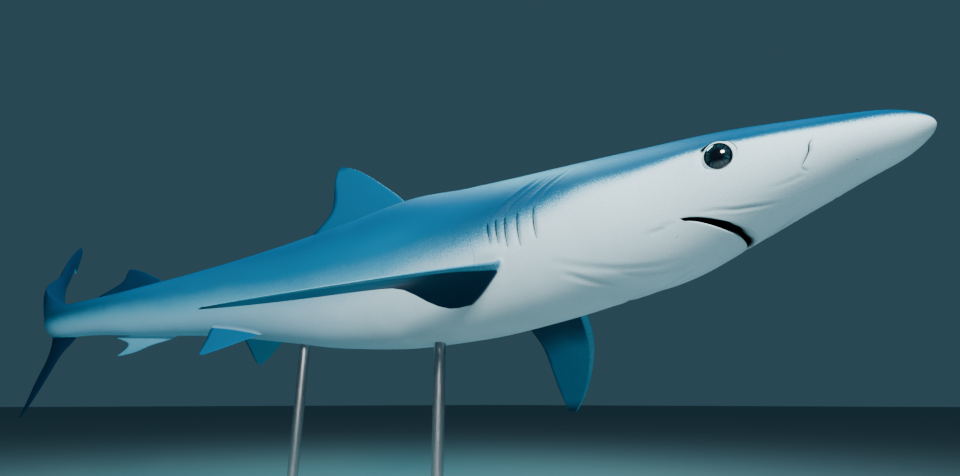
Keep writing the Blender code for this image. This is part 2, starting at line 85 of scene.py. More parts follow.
def curveThrough(knots, values):
    # monotone cubic; reads single positions and arrays
    x = np.array(knots, float)
    y = np.array(values, float)
    step = np.diff(x)
    slope = np.diff(y) / step
    tangent = np.concatenate([slope[:1], np.zeros(len(x) - 2), slope[-1:]])
    for k in range(1, len(x) - 1):
        if slope[k - 1] * slope[k] > 0:
            w1 = 2 * step[k] + step[k - 1]
            w2 = step[k] + 2 * step[k - 1]
            tangent[k] = (w1 + w2) / (w1 / slope[k - 1] + w2 / slope[k])

    def at(position):
        p = np.clip(position, x[0], x[-1])
        k = np.clip(np.searchsorted(x, p, side="right") - 1, 0, len(step) - 1)
        t = (p - x[k]) / step[k]
        near = (1 + 2 * t) * (1 - t) ** 2 * y[k] + t * (1 - t) ** 2 * step[k] * tangent[k]
        far = t * t * (3 - 2 * t) * y[k + 1] + t * t * (t - 1) * step[k] * tangent[k + 1]
        return near + far

    return at


def layBackbone():
    heading = curveThrough(*zip(*shark["heading"]))
    stations = np.linspace(-1.0, 101.0, 1021)
    angles = np.radians(heading(stations))
    middle = (angles[1:] + angles[:-1]) / 2
    step = stations[1] - stations[0]
    x = np.concatenate([[0.0], np.cumsum(-np.cos(middle) * step)])
    y = np.concatenate([[0.0], np.cumsum(-np.sin(middle) * step)])
    x -= np.interp(shark["middle"], stations, x)
    y -= np.interp(shark["middle"], stations, y)
    roll = curveThrough(*zip(*shark["roll"]))
    return stations, x, y, angles, np.radians(roll(stations))


axisStations, axisX, axisY, axisAngle, axisRoll = layBackbone()
bankCos, bankSin = math.cos(shark["bank"]), math.sin(shark["bank"])


def placed(station, lateral, height, hinge=None):
    # straight layout to metres; with a hinge, stiff behind that station
    values = (np.asarray(v, float) for v in (station, lateral, height))
    station, lateral, height = np.broadcast_arrays(*values)
    at = station if hinge is None else np.minimum(station, hinge)
    angle = np.interp(at, axisStations, axisAngle)
    roll = np.interp(at, axisStations, axisRoll)
    across = lateral * np.cos(roll) - height * np.sin(roll)
    up = height * np.cos(roll) + lateral * np.sin(roll)
    behind = station - at
    x = np.interp(at, axisStations, axisX) - behind * np.cos(angle) + across * np.sin(angle)
    y = np.interp(at, axisStations, axisY) - behind * np.sin(angle) - across * np.cos(angle)
    z = y * bankSin + up * bankCos
    return np.stack([x * unit, (y * bankCos - up * bankSin) * unit, z * unit + shark["axisHeight"]], -1)


def unplaced(points):
    # metres back to station, lateral and height
    p = np.atleast_2d(points) / unit
    z = p[:, 2] - shark["axisHeight"] / unit
    x, y, up = p[:, 0], p[:, 1] * bankCos + z * bankSin, z * bankCos - p[:, 1] * bankSin
    away = (axisX[None, :] - x[:, None]) ** 2 + (axisY[None, :] - y[:, None]) ** 2
    near = away.argmin(1)
    dx, dy, angle, roll = x - axisX[near], y - axisY[near], axisAngle[near], axisRoll[near]
    station = axisStations[near] - dx * np.cos(angle) - dy * np.sin(angle)
    across = dx * np.sin(angle) - dy * np.cos(angle)
    return station, across * np.cos(roll) + up * np.sin(roll), up * np.cos(roll) - across * np.sin(roll)


def rootOf(station):
    # body sections are even in the square root of the way from the snout, which rounds its tip
    return np.sqrt(np.maximum(station - shark["snout"], 0.0))


bodyAt, *bodyRows = (np.array(row) for row in zip(*shark["body"]))
backHeight, bellyDepth, halfWidth = (curveThrough(rootOf(bodyAt), row) for row in bodyRows)
lobeAt, *lobeRows = zip(*shark["lobe"])
lobeTop, lobeLine, lobeLow, lobeHalf = (curveThrough(lobeAt, row) for row in lobeRows)


def liftAt(station):
    return shark["snoutLift"] * np.maximum(0.0, 1.0 - station / shark["liftEnd"]) ** 2


def sectionPoint(station, turn):
    # lateral and height of the skin; a turn of 0 is the right side and 90 degrees the back
    station, turn = np.asarray(station, float), np.radians(turn)
    c, s = np.cos(turn), np.sin(turn)
    root = rootOf(station)
    bodyHeight = np.where(s > 0, backHeight(root), bellyDepth(root)) * s + liftAt(station)
    bodyLateral = halfWidth(root) * np.sign(c) * np.abs(c) ** shark["sides"]
    line = lobeLine(station)
    behind = station - shark["lobeStart"]
    sharp = shark["sides"] * (1.0 + np.clip(behind / 6.0, 0.0, 1.0))
    lag = shark["lobeLag"] * np.sin(math.pi * np.clip(behind / 11.0, 0.0, 1.0)) ** 2 * np.maximum(0.0, s)
    lobeHeight = line + np.where(s > 0, lobeTop(station) - line, line - lobeLow(station)) * s
    lobeLateral = lobeHalf(station) * np.sign(c) * np.abs(c) ** sharp + lag
    tail = behind > 0
    return np.where(tail, lobeLateral, bodyLateral), np.where(tail, lobeHeight, bodyHeight)


def turnAt(station, lateral, height):
    # the turn whose ray from the axis meets this point of a body section, and how far out it lies
    root = rootOf(station)
    h = height - liftAt(station)
    c = np.sign(lateral) * (np.abs(lateral) / halfWidth(root)) ** (1 / shark["sides"])
    s = h / np.where(h > 0, backHeight(root), bellyDepth(root))
    return np.degrees(np.arctan2(s, c)), np.hypot(c, s)


# ---- fins, as in the solids: edges are (behind the origin, out from the root line). "above" says how far
# into the blue the upper face, the edge and the lower face lie, and how much that rises to the tip;
# the dusky margin how dusky the fin is at least, behind, and at its tip.
fins = {
    "firstDorsal": {
        "origin": (36, 0, 6.33), "thickness": 0.85, "slope": 0.116, "cells": 12,
        "above": (2.6, 2.6, 2.6), "duskyMarginAndShade": (0, 0.9, 0.8),
        "leading": ((-0.3, -0.8), (0, 0), (3.65, 3.95), (5.9, 5.9), (7.1, 6.7), (7.95, 7.05)),
        "trailing": ((6.9, -0.8), (7.4, 0), (11.25, 0.33), (10, 1.29), (9, 2.2), (8.75, 3.65),
                     (8.8, 5.76), (8.35, 7.05)),
    },
    "secondDorsal": {
        "origin": (64, 0, 2.83), "thickness": 0.45, "slope": 0.12, "cells": 9,
        "above": (4, 4, 4), "duskyMarginAndShade": (0.75, 1, 0),
        "leading": ((0.2, -0.5), (0, 0), (1.5, 1.15), (2.8, 1.9), (3.7, 2.25)),
        "trailing": ((4.2, -0.5), (4.5, 0), (7.8, 0.15), (5.8, 0.75), (4.6, 1.25), (4.3, 1.95),
                     (4.1, 2.25)),
    },
    "anal": {
        "origin": (62.2, 0, -2.85), "thickness": 0.45, "slope": 0.1, "cells": 9,
        "above": (-0.3, -0.3, -0.3), "rise": 0.6, "duskyMarginAndShade": (0, 1, 0),
        "leading": ((0.2, -0.5), (0, 0), (2.9, 0.95), (4.6, 1.64), (6.2, 2)),
        "trailing": ((4.4, -0.5), (4.7, 0), (7.5, 0.15), (5.7, 0.6), (5.5, 0.95), (6, 1.5), (6.7, 2)),
    },
    "lowerTail": {
        "origin": (74.2, 0, -1.7), "thickness": 0.75, "slope": 0, "cells": 12,
        "above": (4, 4, 4), "duskyMarginAndShade": (0.75, 1, 0),
        "hinge": 77.2, "freeFrom": 4, "curl": 2,
        "leading": ((3, -2.2), (0.9, -0.9), (0, 0), (1.9, 1.9), (3.1, 4.2), (4.1, 6.2), (5, 7.8)),
        "trailing": ((8.1, -2.2), (7.5, -0.9), (7, 0), (6.4, 1.9), (6, 4.2), (5.75, 6.2), (5.5, 7.8)),
    },
    "pectoral": {
        "origin": (21.4, 3.28, -2.62), "thickness": 0.75, "cells": 22,
        # the lower face's blue-grey is partly its own colour, partly painted shade
        "above": (2, 0.6, 1.1), "duskyMarginAndShade": (0, 0.9, 1),
        "leading": ((0.3, -1.6), (0, 0), (1.2, 3.3), (3, 7), (5.6, 10.8), (8.6, 14.2), (10, 15.4)),
        "trailing": ((2.6, -1.6), (3.3, 0), (4.27, 0.9), (5.84, 1.8), (6.7, 2.6), (7.3, 3.4), (7.8, 5.8),
                     (9.3, 9.4), (10.5, 13), (10.9, 15.4)),
        # droop, fall of the chord per unit of its length at the root and outboard, droop added by the tip
        "pose": {1: (23.8, 0.62, 0.05, 0), -1: (5.7, 0, 0.08, 16.4)},
    },
    "pelvic": {
        "origin": (50.6, 1.57, -3.72), "thickness": 0.4, "cells": 8,
        "above": (2, 1.2, 0.6), "duskyMarginAndShade": (0, 1, 0.3),
        "leading": ((0.2, -0.9), (0, 0), (1.6, 1.25), (3.2, 2.4), (4.4, 3.05)),
        "trailing": ((3.8, -0.9), (4, 0), (5.6, 0.7), (5.2, 1.6), (4.8, 3.05)),
        "pose": {1: (35.8, -0.25, -0.25, 0), -1: (47, -0.25, 0.1, 0)},
    },
}
for fin in fins.values():
    for edge in ("leading", "trailing"):
        fin[edge + "Curve"] = curveThrough([p[1] for p in fin[edge]], [p[0] for p in fin[edge]])
    fin["reach"] = fin["leading"][-1][1]
# how a fin thins from leading to trailing edge, and where its fall sets in and is full; its patch: how far
# round the foot, the ends in shares of the chord, and the first step out of it; where the dusky margin
# starts, and the share of the reach where the body's looks fade into the fin's
finForm = {
    "edge": 0.09, "fullness": 0.965, "taper": 1.1, "rear": 0.85, "least": 0.018, "fall": (0.6, 3.6),
    "round": 0.22, "ends": (-0.0528, 1.044), "firstStep": 0.12, "marginFrom": 0.8, "fadeIn": 0.15,
}
finLevels = (0.035, 0.08, 0.14, 0.22, 0.33, 0.45, 0.58, 0.71, 0.83, 0.92, 0.975, 1)


def clamp(value):
    return min(1.0, max(0.0, value))


def finHalf(fin, share, out):
    # half thickness across the chord, round in front and thin behind
    taper = max(0.0, 1.0 - max(out, 0.0) / fin["reach"])
    thick = finForm["edge"] + (fin["thickness"] - finForm["edge"]) * taper ** finForm["taper"]
    profile = math.sqrt(max(share, 0.0)) * max(0.0, 1.0 - share) ** finForm["rear"]
    return max(finForm["least"], thick * finForm["fullness"] * profile)


def finPoint(fin, out, share, half, side=1):
    # a point of a fin: out from its root line, a share of the chord back, half a thickness to one face
    station, lateral, height = fin["origin"]
    lead = fin["leadingCurve"](out)
    chord = fin["trailingCurve"](out) - lead
    along = lead + chord * share
    if "pose" in fin:
        droop, rootFall, outerFall, bend = fin["pose"][side]
        slant = math.radians(droop + bend * max(0.0, out) / fin["reach"])
        c, s = math.cos(slant), -math.sin(slant)
        roll = float(np.interp(station, axisStations, axisRoll))
        inner, outer = finForm["fall"]
        blend = clamp((out - inner) / (outer - inner))
        blend = blend * blend * (3.0 - 2.0 * blend)
        fall = (rootFall + (outerFall - rootFall) * blend) * chord * share
        across = lateral + out * c - half * s - side * fall * math.sin(roll)
        up = height + out * s + half * c - fall * math.cos(roll)
        return placed(station + along, side * across, up, station)
    down = -1.0 if height < 0 else 1.0
    up = height + down * (out - fin["slope"] * along)
    if fin is not fins["lowerTail"]:
        return placed(station + along, half, up)
    free = clamp(out / fin["freeFrom"]) ** 2
    lateral = half + fin["curl"] * (max(0.0, out) / fin["reach"]) ** 1.5
    bent, stiff = (placed(station + along, lateral, up, hinge) for hinge in (None, fin["hinge"]))
    return bent * (1 - free) + stiff * free


def depthInBody(point):
    # above 1 outside the body, below 1 inside
    station, lateral, height = unplaced(point)
    if station[0] <= shark["lobeStart"]:
        return turnAt(station, lateral, height)[1][0]
    line = lobeLine(station)
    reach = np.where(height > line, lobeTop(station) - line, line - lobeLow(station))
    return float(max(abs(height - line) / reach, abs(lateral) / (lobeHalf(station) * 1.1)))


def finFoot(fin, share, half, side):
    # how far out this line of the fin leaves the body
    inner, outer = fin["leading"][0][1] * 0.95, 3.0
    for _ in range(14):
        middle = (inner + outer) / 2
        if depthInBody(finPoint(fin, middle, share, half, side)) > 1:
            outer = middle
        else:
            inner = middle
    return (inner + outer) / 2


# ---- the skin's cage: rings along the body and rows round it, drawn onto the mouth, eyes, gills and fins
cage = {
    "rows": 72, "rounds": (700, 1500), "firstRing": 0.016, "lastRing": 99.85, "tipGrowth": 0.254,
    "spacing": (
        (0.8, 0.18), (17, 0.19), (23.5, 0.2), (27, 0.35), (32, 0.7), (48, 0.7), (50, 0.5), (56, 0.5),
        (59, 0.7), (62, 0.5), (70, 0.5), (84, 0.5), (94, 0.45), (100, 0.35),
    ),
}
mouth = {
    "corner": 10.22, "columns": 12, "ring": 8.7,
    # each lip: where its front is, how square its curve and its half width
    "upper": (7.52, 1.72, 2.7),
    "lower": (8.2, 1.85, 2.6),
    # how far in, back and up each step of the mouth's pocket goes, for the upper and lower lip
    "steps": (((0.02, 0, 0.03), (0.03, 0, 0.03)), ((0.04, 0.03, 0.1), (0.08, 0.05, 0.08)),
              ((0.05, 0.1, 0.34), (0.16, 0.16, 0.16)), ((0.06, 0.3, 0.8), (0.24, 0.4, 0.42)),
              ((0.1, 0.9, 1.15), (0.3, 0.9, 0.8))),
    # painted shade, deeper at each step into the mouth's pocket
    "dark": (0, 0.45, 0.85, 1, 1),
    # how much less of each step there is at the corners, and how far the lips roll in to each other
    "less": 0.75, "rollIn": 0.02,
    # a pale shelf of gum behind the front of the upper lip: further back, less of the step up, painted
    # shade
    "gum": ((0, 0, 0), (0.1, 0.4, 0.08), (0.28, 0.6, 0.16), (0.4, 0.6, 0.24), (0, 0.3, 0.8)),
}
eye = {
    "station": 7.6, "turn": 1.9, "radius": 0.95, "depth": 0.655, "behind": 0.05, "tilt": 16,
    "oval": 0.045, "lidRadius": 0.9, "cells": (5, 3), "perDegree": 0.0555,
    # the loops outside the lid get a painted shadow in a crescent under the brow: its middle, its ends'
    # cosine, its sharpness; and where the brow starts, and its sharpness
    "outside": 5, "browShadow": (1.3, 0.62, 4), "brow": (0.2, 1.8),
    # the lid and the socket round the ball: share from skin to ball, angle off the eye's axis, clearance,
    # painted shade, and above the eye only how much the brow stands out and how much further off it lies
    "loops": ((0.15, 67, 0, 0.9, 0.12, 9), (0.55, 62, -0.02, 1, 0.06, 9.5),
              (0.95, 57.5, -0.02, 1, 0.01, 9), (1, 53.5, 0.04, 1, -0.03, 4),
              (1, 48, 0.06, 0.9, -0.02, 2.5), (1, 44.5, 0.055, 0, -0.01, 1), (1, 41.2, 0.034, 0.4, 0, 0),
              (1, 39.6, 0.008, 1, 0, 0), (1, 44, 0.015, 1, 0, 0), (1, 75, 0.03, 1, 0, 0),
              (1, 110, 0.03, 1, 0, 0), (1, 150, 0.03, 1, 0, 0), (1, 172, 0.03, 1, 0, 0)),
}
# slits: (station, turn) from the top down, half width, and (depth, shift back) of each step inwards; each
# step also gets painted shade
slits = {
    "nostril": {
        "path": ((3.85, -6), (4.03, -14.5), (4.04, -22.3), (4.2, -32.4), (4.39, -39.6), (4.54, -44.2)),
        "cells": 8, "half": 0.045, "dark": (0.12, 0.35, 0.7),
        "steps": ((0.03, 0), (0.1, 0.05), (0.18, 0.1)),
    },
}
# gills: where each slit's top and foot lie, and how far back its middle bows
gills = {
    "tops": ((18.7, -1), (20.06, -1.5), (21.13, -2), (21.97, -2.5), (22.72, -3.5)),
    "feet": ((18.47, -24.5), (19.82, -26), (20.9, -24.5), (21.66, -20), (22.39, -18.5)),
    "bow": 0.05,
    "slit": {
        # each step's painted shade inside the gill slit
        "cells": 6, "half": 0.04, "dark": (0.08, 0.3, 0.7),
        "steps": ((0.05, 0.03), (0.16, 0.14), (0.26, 0.26)),
    },
}


def ringStations():
    stations = [shark["snout"] + cage["firstRing"]]
    while stations[-1] < cage["lastRing"]:
        s = stations[-1]
        step = float(np.interp(s, *zip(*cage["spacing"])))
        stations.append(s + min(step, cage["tipGrowth"] * math.sqrt(s - shark["snout"]) + 0.01))
    stations[-1] = cage["lastRing"]
    return np.array(stations)


rows = cage["rows"]
ringAt = ringStations()
turnOf = -90.0 + 360.0 * np.arange(rows) / rows
pins = {}


def pin(ring, row, station, turn):
    row %= rows
    shift = (turn - turnOf[row] + 180.0) % 360.0 - 180.0
    pins[(ring, row)] = (station - ringAt[ring], shift)


def pinBoth(ring, row, station, turn):
    # the same corner on both sides
    pin(ring, row, station, turn)
    pin(ring, -row, station, 180.0 - turn)


def solveCage(rounds):
    # carries the pinned shifts evenly over the rest of the cage
    shift = np.zeros((len(ringAt), rows, 2))
    held = np.zeros((len(ringAt), rows), bool)
    held[0] = held[-1] = True
    for (ring, row), value in pins.items():
        shift[ring, row] = value
        held[ring, row] = True
    free = ~held
    for _ in range(rounds):
        mean = np.roll(shift, 1, 1) + np.roll(shift, -1, 1)
        mean[1:-1] += shift[:-2] + shift[2:]
        shift[free] = mean[free] / 4
    return ringAt[:, None] + shift[..., 0], turnOf[None, :] + shift[..., 1]


def nearestCell(stations, turns, station, turn):
    half = rows // 2 + 1
    away = (stations[:, :half] - station) ** 2 + ((turns[:, :half] - turn) * 0.06) ** 2
    return np.unravel_index(away.argmin(), away.shape)


def lipPath(front, roundness, width, count):
    # equal steps along one lip, from its middle to the mouth's corner
    a = np.linspace(0.0, math.pi / 2, 400)
    lateral = width * np.sin(a) ** (2 / roundness)
    station = mouth["corner"] - (mouth["corner"] - front) * np.cos(a) ** (2 / roundness)
    c = np.clip(lateral / halfWidth(rootOf(station)), 0.0, 1.0) ** (1 / shark["sides"])
    turn = -np.degrees(np.arccos(c))
    points = np.stack([station, *sectionPoint(station, turn)], -1)
    run = np.concatenate([[0.0], np.cumsum(np.linalg.norm(np.diff(points, axis=0), axis=1))])
    even = np.linspace(0.0, run[-1], count + 1)
    return np.interp(even, run, station), np.interp(even, run, turn)


def pinMouth():
    ring = int(np.abs(ringAt - mouth["ring"]).argmin())
    for step, name in enumerate(("upper", "lower")):
        stations, turns = lipPath(*mouth[name], mouth["columns"])
        stations[-1] += 0.04 * step
        for column, (station, turn) in enumerate(zip(stations, turns)):
            pinBoth(ring + step, column, station, turn)
    return ring


def rimOf(across, along):
    # rectangle of cage corners, in order round it, with an even angle for each
    keys = [(-across, b) for b in range(along, -along, -1)]
    keys += [(a, -along) for a in range(-across, across)]
    keys += [(-a, -b) for a, b in keys]
    start = math.atan2(1.0, -1.0)
    return [(key, start + 2 * math.pi * k / len(keys)) for k, key in enumerate(keys)]


def pinEye(stations, turns):
    ring, row = nearestCell(stations, turns, eye["station"], eye["turn"])
    for (a, b), angle in rimOf(*eye["cells"]):
        station = eye["station"] + eye["lidRadius"] * math.cos(angle)
        turn = eye["turn"] + eye["lidRadius"] * math.sin(angle) / eye["perDegree"]
        pinBoth(ring + a, row + b, station, turn)
    return int(ring), int(row)


def pinSlit(slit, stations, turns):
    # one cell wide, its ends drawn nearly together
    run, knots = (np.linspace(0.0, 1.0, count) for count in (slit["cells"] + 1, len(slit["path"])))
    s = curveThrough(knots, [p[0] for p in slit["path"]])(run)
    t = np.interp(run, knots, [p[1] for p in slit["path"]])
    middle = len(run) // 2
    ring, row = nearestCell(stations, turns, s[middle], t[middle])
    row += middle
    for k, part in enumerate(run):
        width = slit["half"] * (0.25 + 0.75 * math.sin(math.pi * part))
        for step, place in ((0, s[k] - width), (1, s[k] + width)):
            pinBoth(ring + step, row - k, place, t[k])
    return int(ring), int(row)


def gillPaths():
    for (topS, topT), (footS, footT) in zip(gills["tops"], gills["feet"]):
        path = []
        for share, bow in ((0.0, 0.0), (0.25, 0.75), (0.5, 1.0), (0.75, 0.75), (1.0, 0.0)):
            station = topS + (footS - topS) * share + gills["bow"] * bow
            path.append((station, topT + (footT - topT) * share))
        yield tuple(path)


def finShares(cells):
    t = np.arange(cells + 1) / cells
    return np.clip(0.3 * (1 - np.cos(math.pi * t)) + 0.4 * t, 0.02, 0.985)


def pinFin(fin, side):
    # the patch that the fin grows from: two cells across, drawn to the fin's foot with a margin
    cells = fin["cells"]
    shares = finShares(cells)
    foot = {(0, cells * k): (finFoot(fin, float(k), 0.0, side), 0.0, finForm["ends"][k]) for k in (0, 1)}
    for face in (1, -1):
        for k, share in enumerate(shares):
            half = face * (finHalf(fin, share, 0.0) + finForm["round"])
            foot[(face, k)] = finFoot(fin, share, half, side), half, share
    spots = {}
    for key, (out, half, share) in foot.items():
        station, lateral, height = unplaced(finPoint(fin, out, share, half, side))
        if station[0] <= shark["lobeStart"]:
            turn = turnAt(station, lateral, height)[0][0]
        else:
            turn = math.degrees(math.atan2(-1.0, half * 1.2))
        spots[key] = float(station[0]), float(turn)
    middle = cells // 2
    first = int(np.abs(ringAt - (spots[(0, 0)][0] + spots[(0, cells)][0]) / 2).argmin()) - middle
    t1, t2 = (spots[(face, middle)][1] % 360.0 for face in (1, -1))
    sines, cosines = (f(math.radians(t1)) + f(math.radians(t2)) for f in (math.sin, math.cos))
    centre = math.degrees(math.atan2(sines, cosines))
    row = int(round((centre + 90.0) * rows / 360.0)) % rows
    up = 1 if (t1 - t2 + 180.0) % 360.0 > 180.0 else -1
    for (face, k), (station, turn) in spots.items():
        pin(first + k, row + face * up, station, turn)
    return {"fin": fin, "side": side, "first": first, "row": row, "up": up, "shares": shares,
            "foot": {key: value[0] for key, value in foot.items()}}


mouthRing = pinMouth()
stations, turns = solveCage(cage["rounds"][0])
eyeRing, eyeRow = pinEye(stations, turns)
for number, path in enumerate(gillPaths()):
    slits[f"gill{number}"] = {"path": path, **gills["slit"]}
for slit in slits.values():
    slit["at"] = pinSlit(slit, stations, turns)
patches = [pinFin(fins[name], 1) for name in ("firstDorsal", "secondDorsal", "anal", "lowerTail")]
patches += [pinFin(fins[name], side) for name in ("pectoral", "pelvic") for side in (1, -1)]
stations, turns = solveCage(cage["rounds"][1])
print("cage solved:", len(ringAt), "rings")

# ---- the skin
marking = {
    "softness": ((7, 0.2), (10, 0.34), (14, 0.6), (22, 1.2), (40, 1.4), (75, 0.8)),
    "line": ((0.2, 30), (0.99, 17.4), (2.18, 12.5), (3.5, 13.4), (4.95, 13.9), (6.34, 12.8), (8.81, 9.6),
             (10.83, 5.5), (13.78, 4), (16.53, -1.5), (19.5, -9), (23, -15), (28, -17.5), (34.3, -18),
             (44.3, -18), (57, -10), (66.9, -9), (72.5, -14), (78, -40), (82, -80)),
}
markingLine = curveThrough(*zip(*marking["line"]))
floatNames = ("station", "above", "duskyMarginAndShade", "inside", "onFin", "poresAndCreaseShade")


def aboveLine(station, turn):
    # distance above the line between blue and white, in widths of the soft edge between them
    root = rootOf(station)
    radius = (halfWidth(root) + (backHeight(root) + bellyDepth(root)) / 2) / 2
    softness = np.interp(station, *zip(*marking["softness"]))
    return (turn - markingLine(station)) * math.pi / 180 * np.maximum(radius, 0.8) / softness


def addObject(name, data):
    made = bpy.data.objects.new(name, data)
    bpy.context.collection.objects.link(made)
    return made


def newObject(name, bm):
    mesh = bpy.data.meshes.new(name)
    bm.to_mesh(mesh)
    bm.free()
    return addObject(name, mesh)


def finishPiece(piece, material, nodes):
    piece.data.materials.clear()
    piece.data.materials.append(material)
    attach(piece, "root")
    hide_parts(*nodes)


def layCage():
    bm = bmesh.new()
    bmesh.ops.create_grid(bm, x_segments=rows, y_segments=len(ringAt) - 1, size=1.0)
    keys = [bm.verts.layers.int.new(name) for name in ("ring", "row")]
    layers = {name: bm.verts.layers.float.new(name) for name in floatNames}
    where = placed(stations, *sectionPoint(stations, turns))
    above = aboveLine(stations, np.where(turns > 90.0, 180.0 - turns, turns))
    corner = {}
    for k, vert in enumerate(bm.verts):
        ring, row = divmod(k, rows + 1)
        at = ring, row % rows
        vert[keys[0]], vert[keys[1]] = at
        vert.co = where[at]
        vert[layers["station"]] = stations[at]
        vert[layers["above"]] = above[at]
        corner[(ring, row)] = vert
    faceAt = {divmod(k, rows): face for k, face in enumerate(bm.faces)}
    welds = {corner.pop((ring, rows)): corner[(ring, 0)] for ring in range(len(ringAt))}
    bmesh.ops.weld_verts(bm, targetmap=welds)
    return bm, corner, faceAt, layers, keys


def cornersOf(faces, keys):
    return {(v[keys[0]], v[keys[1]]): v for face in faces for v in face.verts}


def pushFaces(bm, faces, keys):
    # lifts a patch off its place; the new corners keep their ring and row
    made = bmesh.ops.extrude_face_region(bm, geom=faces)["geom"]
    bmesh.ops.delete(bm, geom=faces, context="FACES")
    lifted = [g for g in made if isinstance(g, bmesh.types.BMFace)]
    return lifted, cornersOf(lifted, keys)


def openMouth(bm, faceAt, layers, keys):
    columns = mouth["columns"]
    faces = [faceAt[(mouthRing, j % rows)] for j in range(-columns, columns)]
    home = {}
    for ring in (mouthRing, mouthRing + 1):
        for j in range(-columns, columns + 1):
            at = ring, j % rows
            home[at] = np.array([stations[at], *sectionPoint(stations[at], turns[at])], float)
    for depth, step in enumerate(mouth["steps"]):
        faces, corners = pushFaces(bm, faces, keys)
        gumBack, gumLow, gumDark = mouth["gum"][depth]
        for (ring, row), vert in corners.items():
            inward, back, up = step[ring - mouthRing]
            column = min(row, rows - row) / columns
            fade = 1.0 - mouth["less"] * column**6
            gum = clamp(1.4 - column / 0.45) if ring == mouthRing else 0.0
            station, lateral, height = home[(ring, row)]
            station += (back + gum * gumBack) * fade
            lateral *= 1.0 - inward * fade * (0.3 + 0.7 * column)
            height += up * (1.0 - gum * gumLow) * fade
            vert.co = placed(station, lateral, height)
            # painted shade deeper in the pocket, less of it on the pale gum
            vert[layers["inside"]] = mouth["dark"][depth] * (1 - gum) + gumDark * gum
            if depth == 0:
                other = Vector(placed(*home[(2 * mouthRing + 1 - ring, row)]))
                vert.co = vert.co.lerp(other, mouth["rollIn"])


def eyeFrame(side):
    # the ball's centre, the way it looks, and the ways back and up across it
    station, turn = eye["station"], math.radians(eye["turn"])
    lateral, height = sectionPoint(station, eye["turn"])
    centre = Vector(placed(station + eye["behind"], side * (lateral - eye["depth"] * math.cos(turn)),
                           height - eye["depth"] * math.sin(turn)))
    spots = []
    for ds, dt in ((-0.05, 0), (0.05, 0), (0, -0.5), (0, 0.5)):
        lateral, height = sectionPoint(station + ds, eye["turn"] + dt)
        spots.append(Vector(placed(station + ds, side * lateral, height)))
    along, up = (spots[1] - spots[0]).normalized(), (spots[3] - spots[2]).normalized()
    axis = along.cross(up).normalized()
    if axis.dot(spots[0] - Vector(placed(station, 0.0, 0.0))) < 0:
        axis = -axis
    tilt = math.radians(eye["tilt"])
    axis = (axis * math.cos(tilt) - up * math.sin(tilt)).normalized()
    back = (along - axis * along.dot(axis)).normalized()
    up = (up - axis * up.dot(axis)).normalized()
    return centre, axis, back, up


def openEye(bm, faceAt, layers, keys, side):
    across, along = eye["cells"]
    centre, axis, back, up = eyeFrame(side)
    block = []
    for a in range(-across, across):
        for b in range(-along, along):
            row = eyeRow + b if side > 0 else -(eyeRow + b) - 1
            block.append(faceAt[(eyeRing + a, row % rows)])
    faces = bmesh.ops.dissolve_faces(bm, faces=block)["region"]
    angles = {}
    for (a, b), angle in rimOf(across, along):
        row = eyeRow + b if side > 0 else -(eyeRow + b)
        angles[(eyeRing + a, row % rows)] = angle
    rim = {key: vert.co.copy() for key, vert in cornersOf(faces, keys).items()}
    middle, ends, sharp = eye["browShadow"]
    browAt, browSharp = eye["brow"]
    for number, (share, off, clear, dark, brow, further) in enumerate(eye["loops"]):
        faces, corners = pushFaces(bm, faces, keys)
        radius = (eye["radius"] + clear) * unit
        for key, vert in corners.items():
            upper = clamp(math.sin(angles[key] - browAt) * browSharp)
            shaded = clamp((math.cos(angles[key] - middle) - ends) * sharp)
            # a little longer up and back than across
            wide = off * (1.0 + eye["oval"] * math.cos(2 * angles[key] - math.pi / 2)) + further * upper
            c, s = math.cos(math.radians(wide)), math.sin(math.radians(wide))
            direction = back * math.cos(angles[key]) + up * math.sin(angles[key])
            onBall = centre + (axis * c + direction * s) * radius
            vert.co = rim[key].lerp(onBall, share) + axis * (brow * upper * unit)
            vert[layers["above"]] = vert[layers["above"]] * (1 - share) - 4.0 * share
            # painted shadow in a crescent under the brow outside the lid, painted shade in the socket
            vert[layers["inside"]] = dark * shaded if number < eye["outside"] else dark


def openSlit(bm, faceAt, layers, keys, slit, side, normals):
    ring, row = slit["at"]
    cells = slit["cells"]
    faces = []
    for k in range(cells):
        cell = row - k - 1 if side > 0 else -(row - k)
        faces.append(faceAt[(ring, cell % rows)])
    home = {key: vert.co.copy() for key, vert in cornersOf(faces, keys).items()}
    for (inward, back), dark in zip(slit["steps"], slit["dark"]):
        faces, corners = pushFaces(bm, faces, keys)
        for key, vert in corners.items():
            k = row - (key[1] if side > 0 else (-key[1]) % rows)
            fade = 0.35 + 0.65 * math.sin(math.pi * k / cells)
            s, lateral, height = (float(v[0]) for v in unplaced(np.array(home[key])))
            ahead = Vector(placed(s + back * fade, lateral, height)) - Vector(placed(s, lateral, height))
            vert.co = home[key] + ahead - normals[key] * inward * fade * unit
            # painted shade inside the slit
            vert[layers["inside"]] = dark


def growFin(bm, faceAt, layers, keys, patch):
    fin, side, first, middle = (patch[name] for name in ("fin", "side", "first", "row"))
    cells = fin["cells"]
    faces = [faceAt[(first + k, (middle + b) % rows)] for k in range(cells) for b in (-1, 0)]
    for part in finLevels:
        faces, corners = pushFaces(bm, faces, keys)
        for (ring, row), vert in corners.items():
            k = ring - first
            face = ((row - middle + rows // 2) % rows - rows // 2) * patch["up"]
            if face == 0 and k in (0, cells):
                share, foot = float(k > 0), patch["foot"][(0, k)]
            else:
                share, foot = float(patch["shares"][k]), patch["foot"][(face or 1, k)]
            start = foot + finForm["firstStep"]
            out = start + (fin["reach"] - start) * (part - finLevels[0]) / (1 - finLevels[0])
            half = face * finHalf(fin, share, out)
            vert.co = finPoint(fin, out, share, half, side)
            setFinMarks(vert, layers, fin, share, out, face)


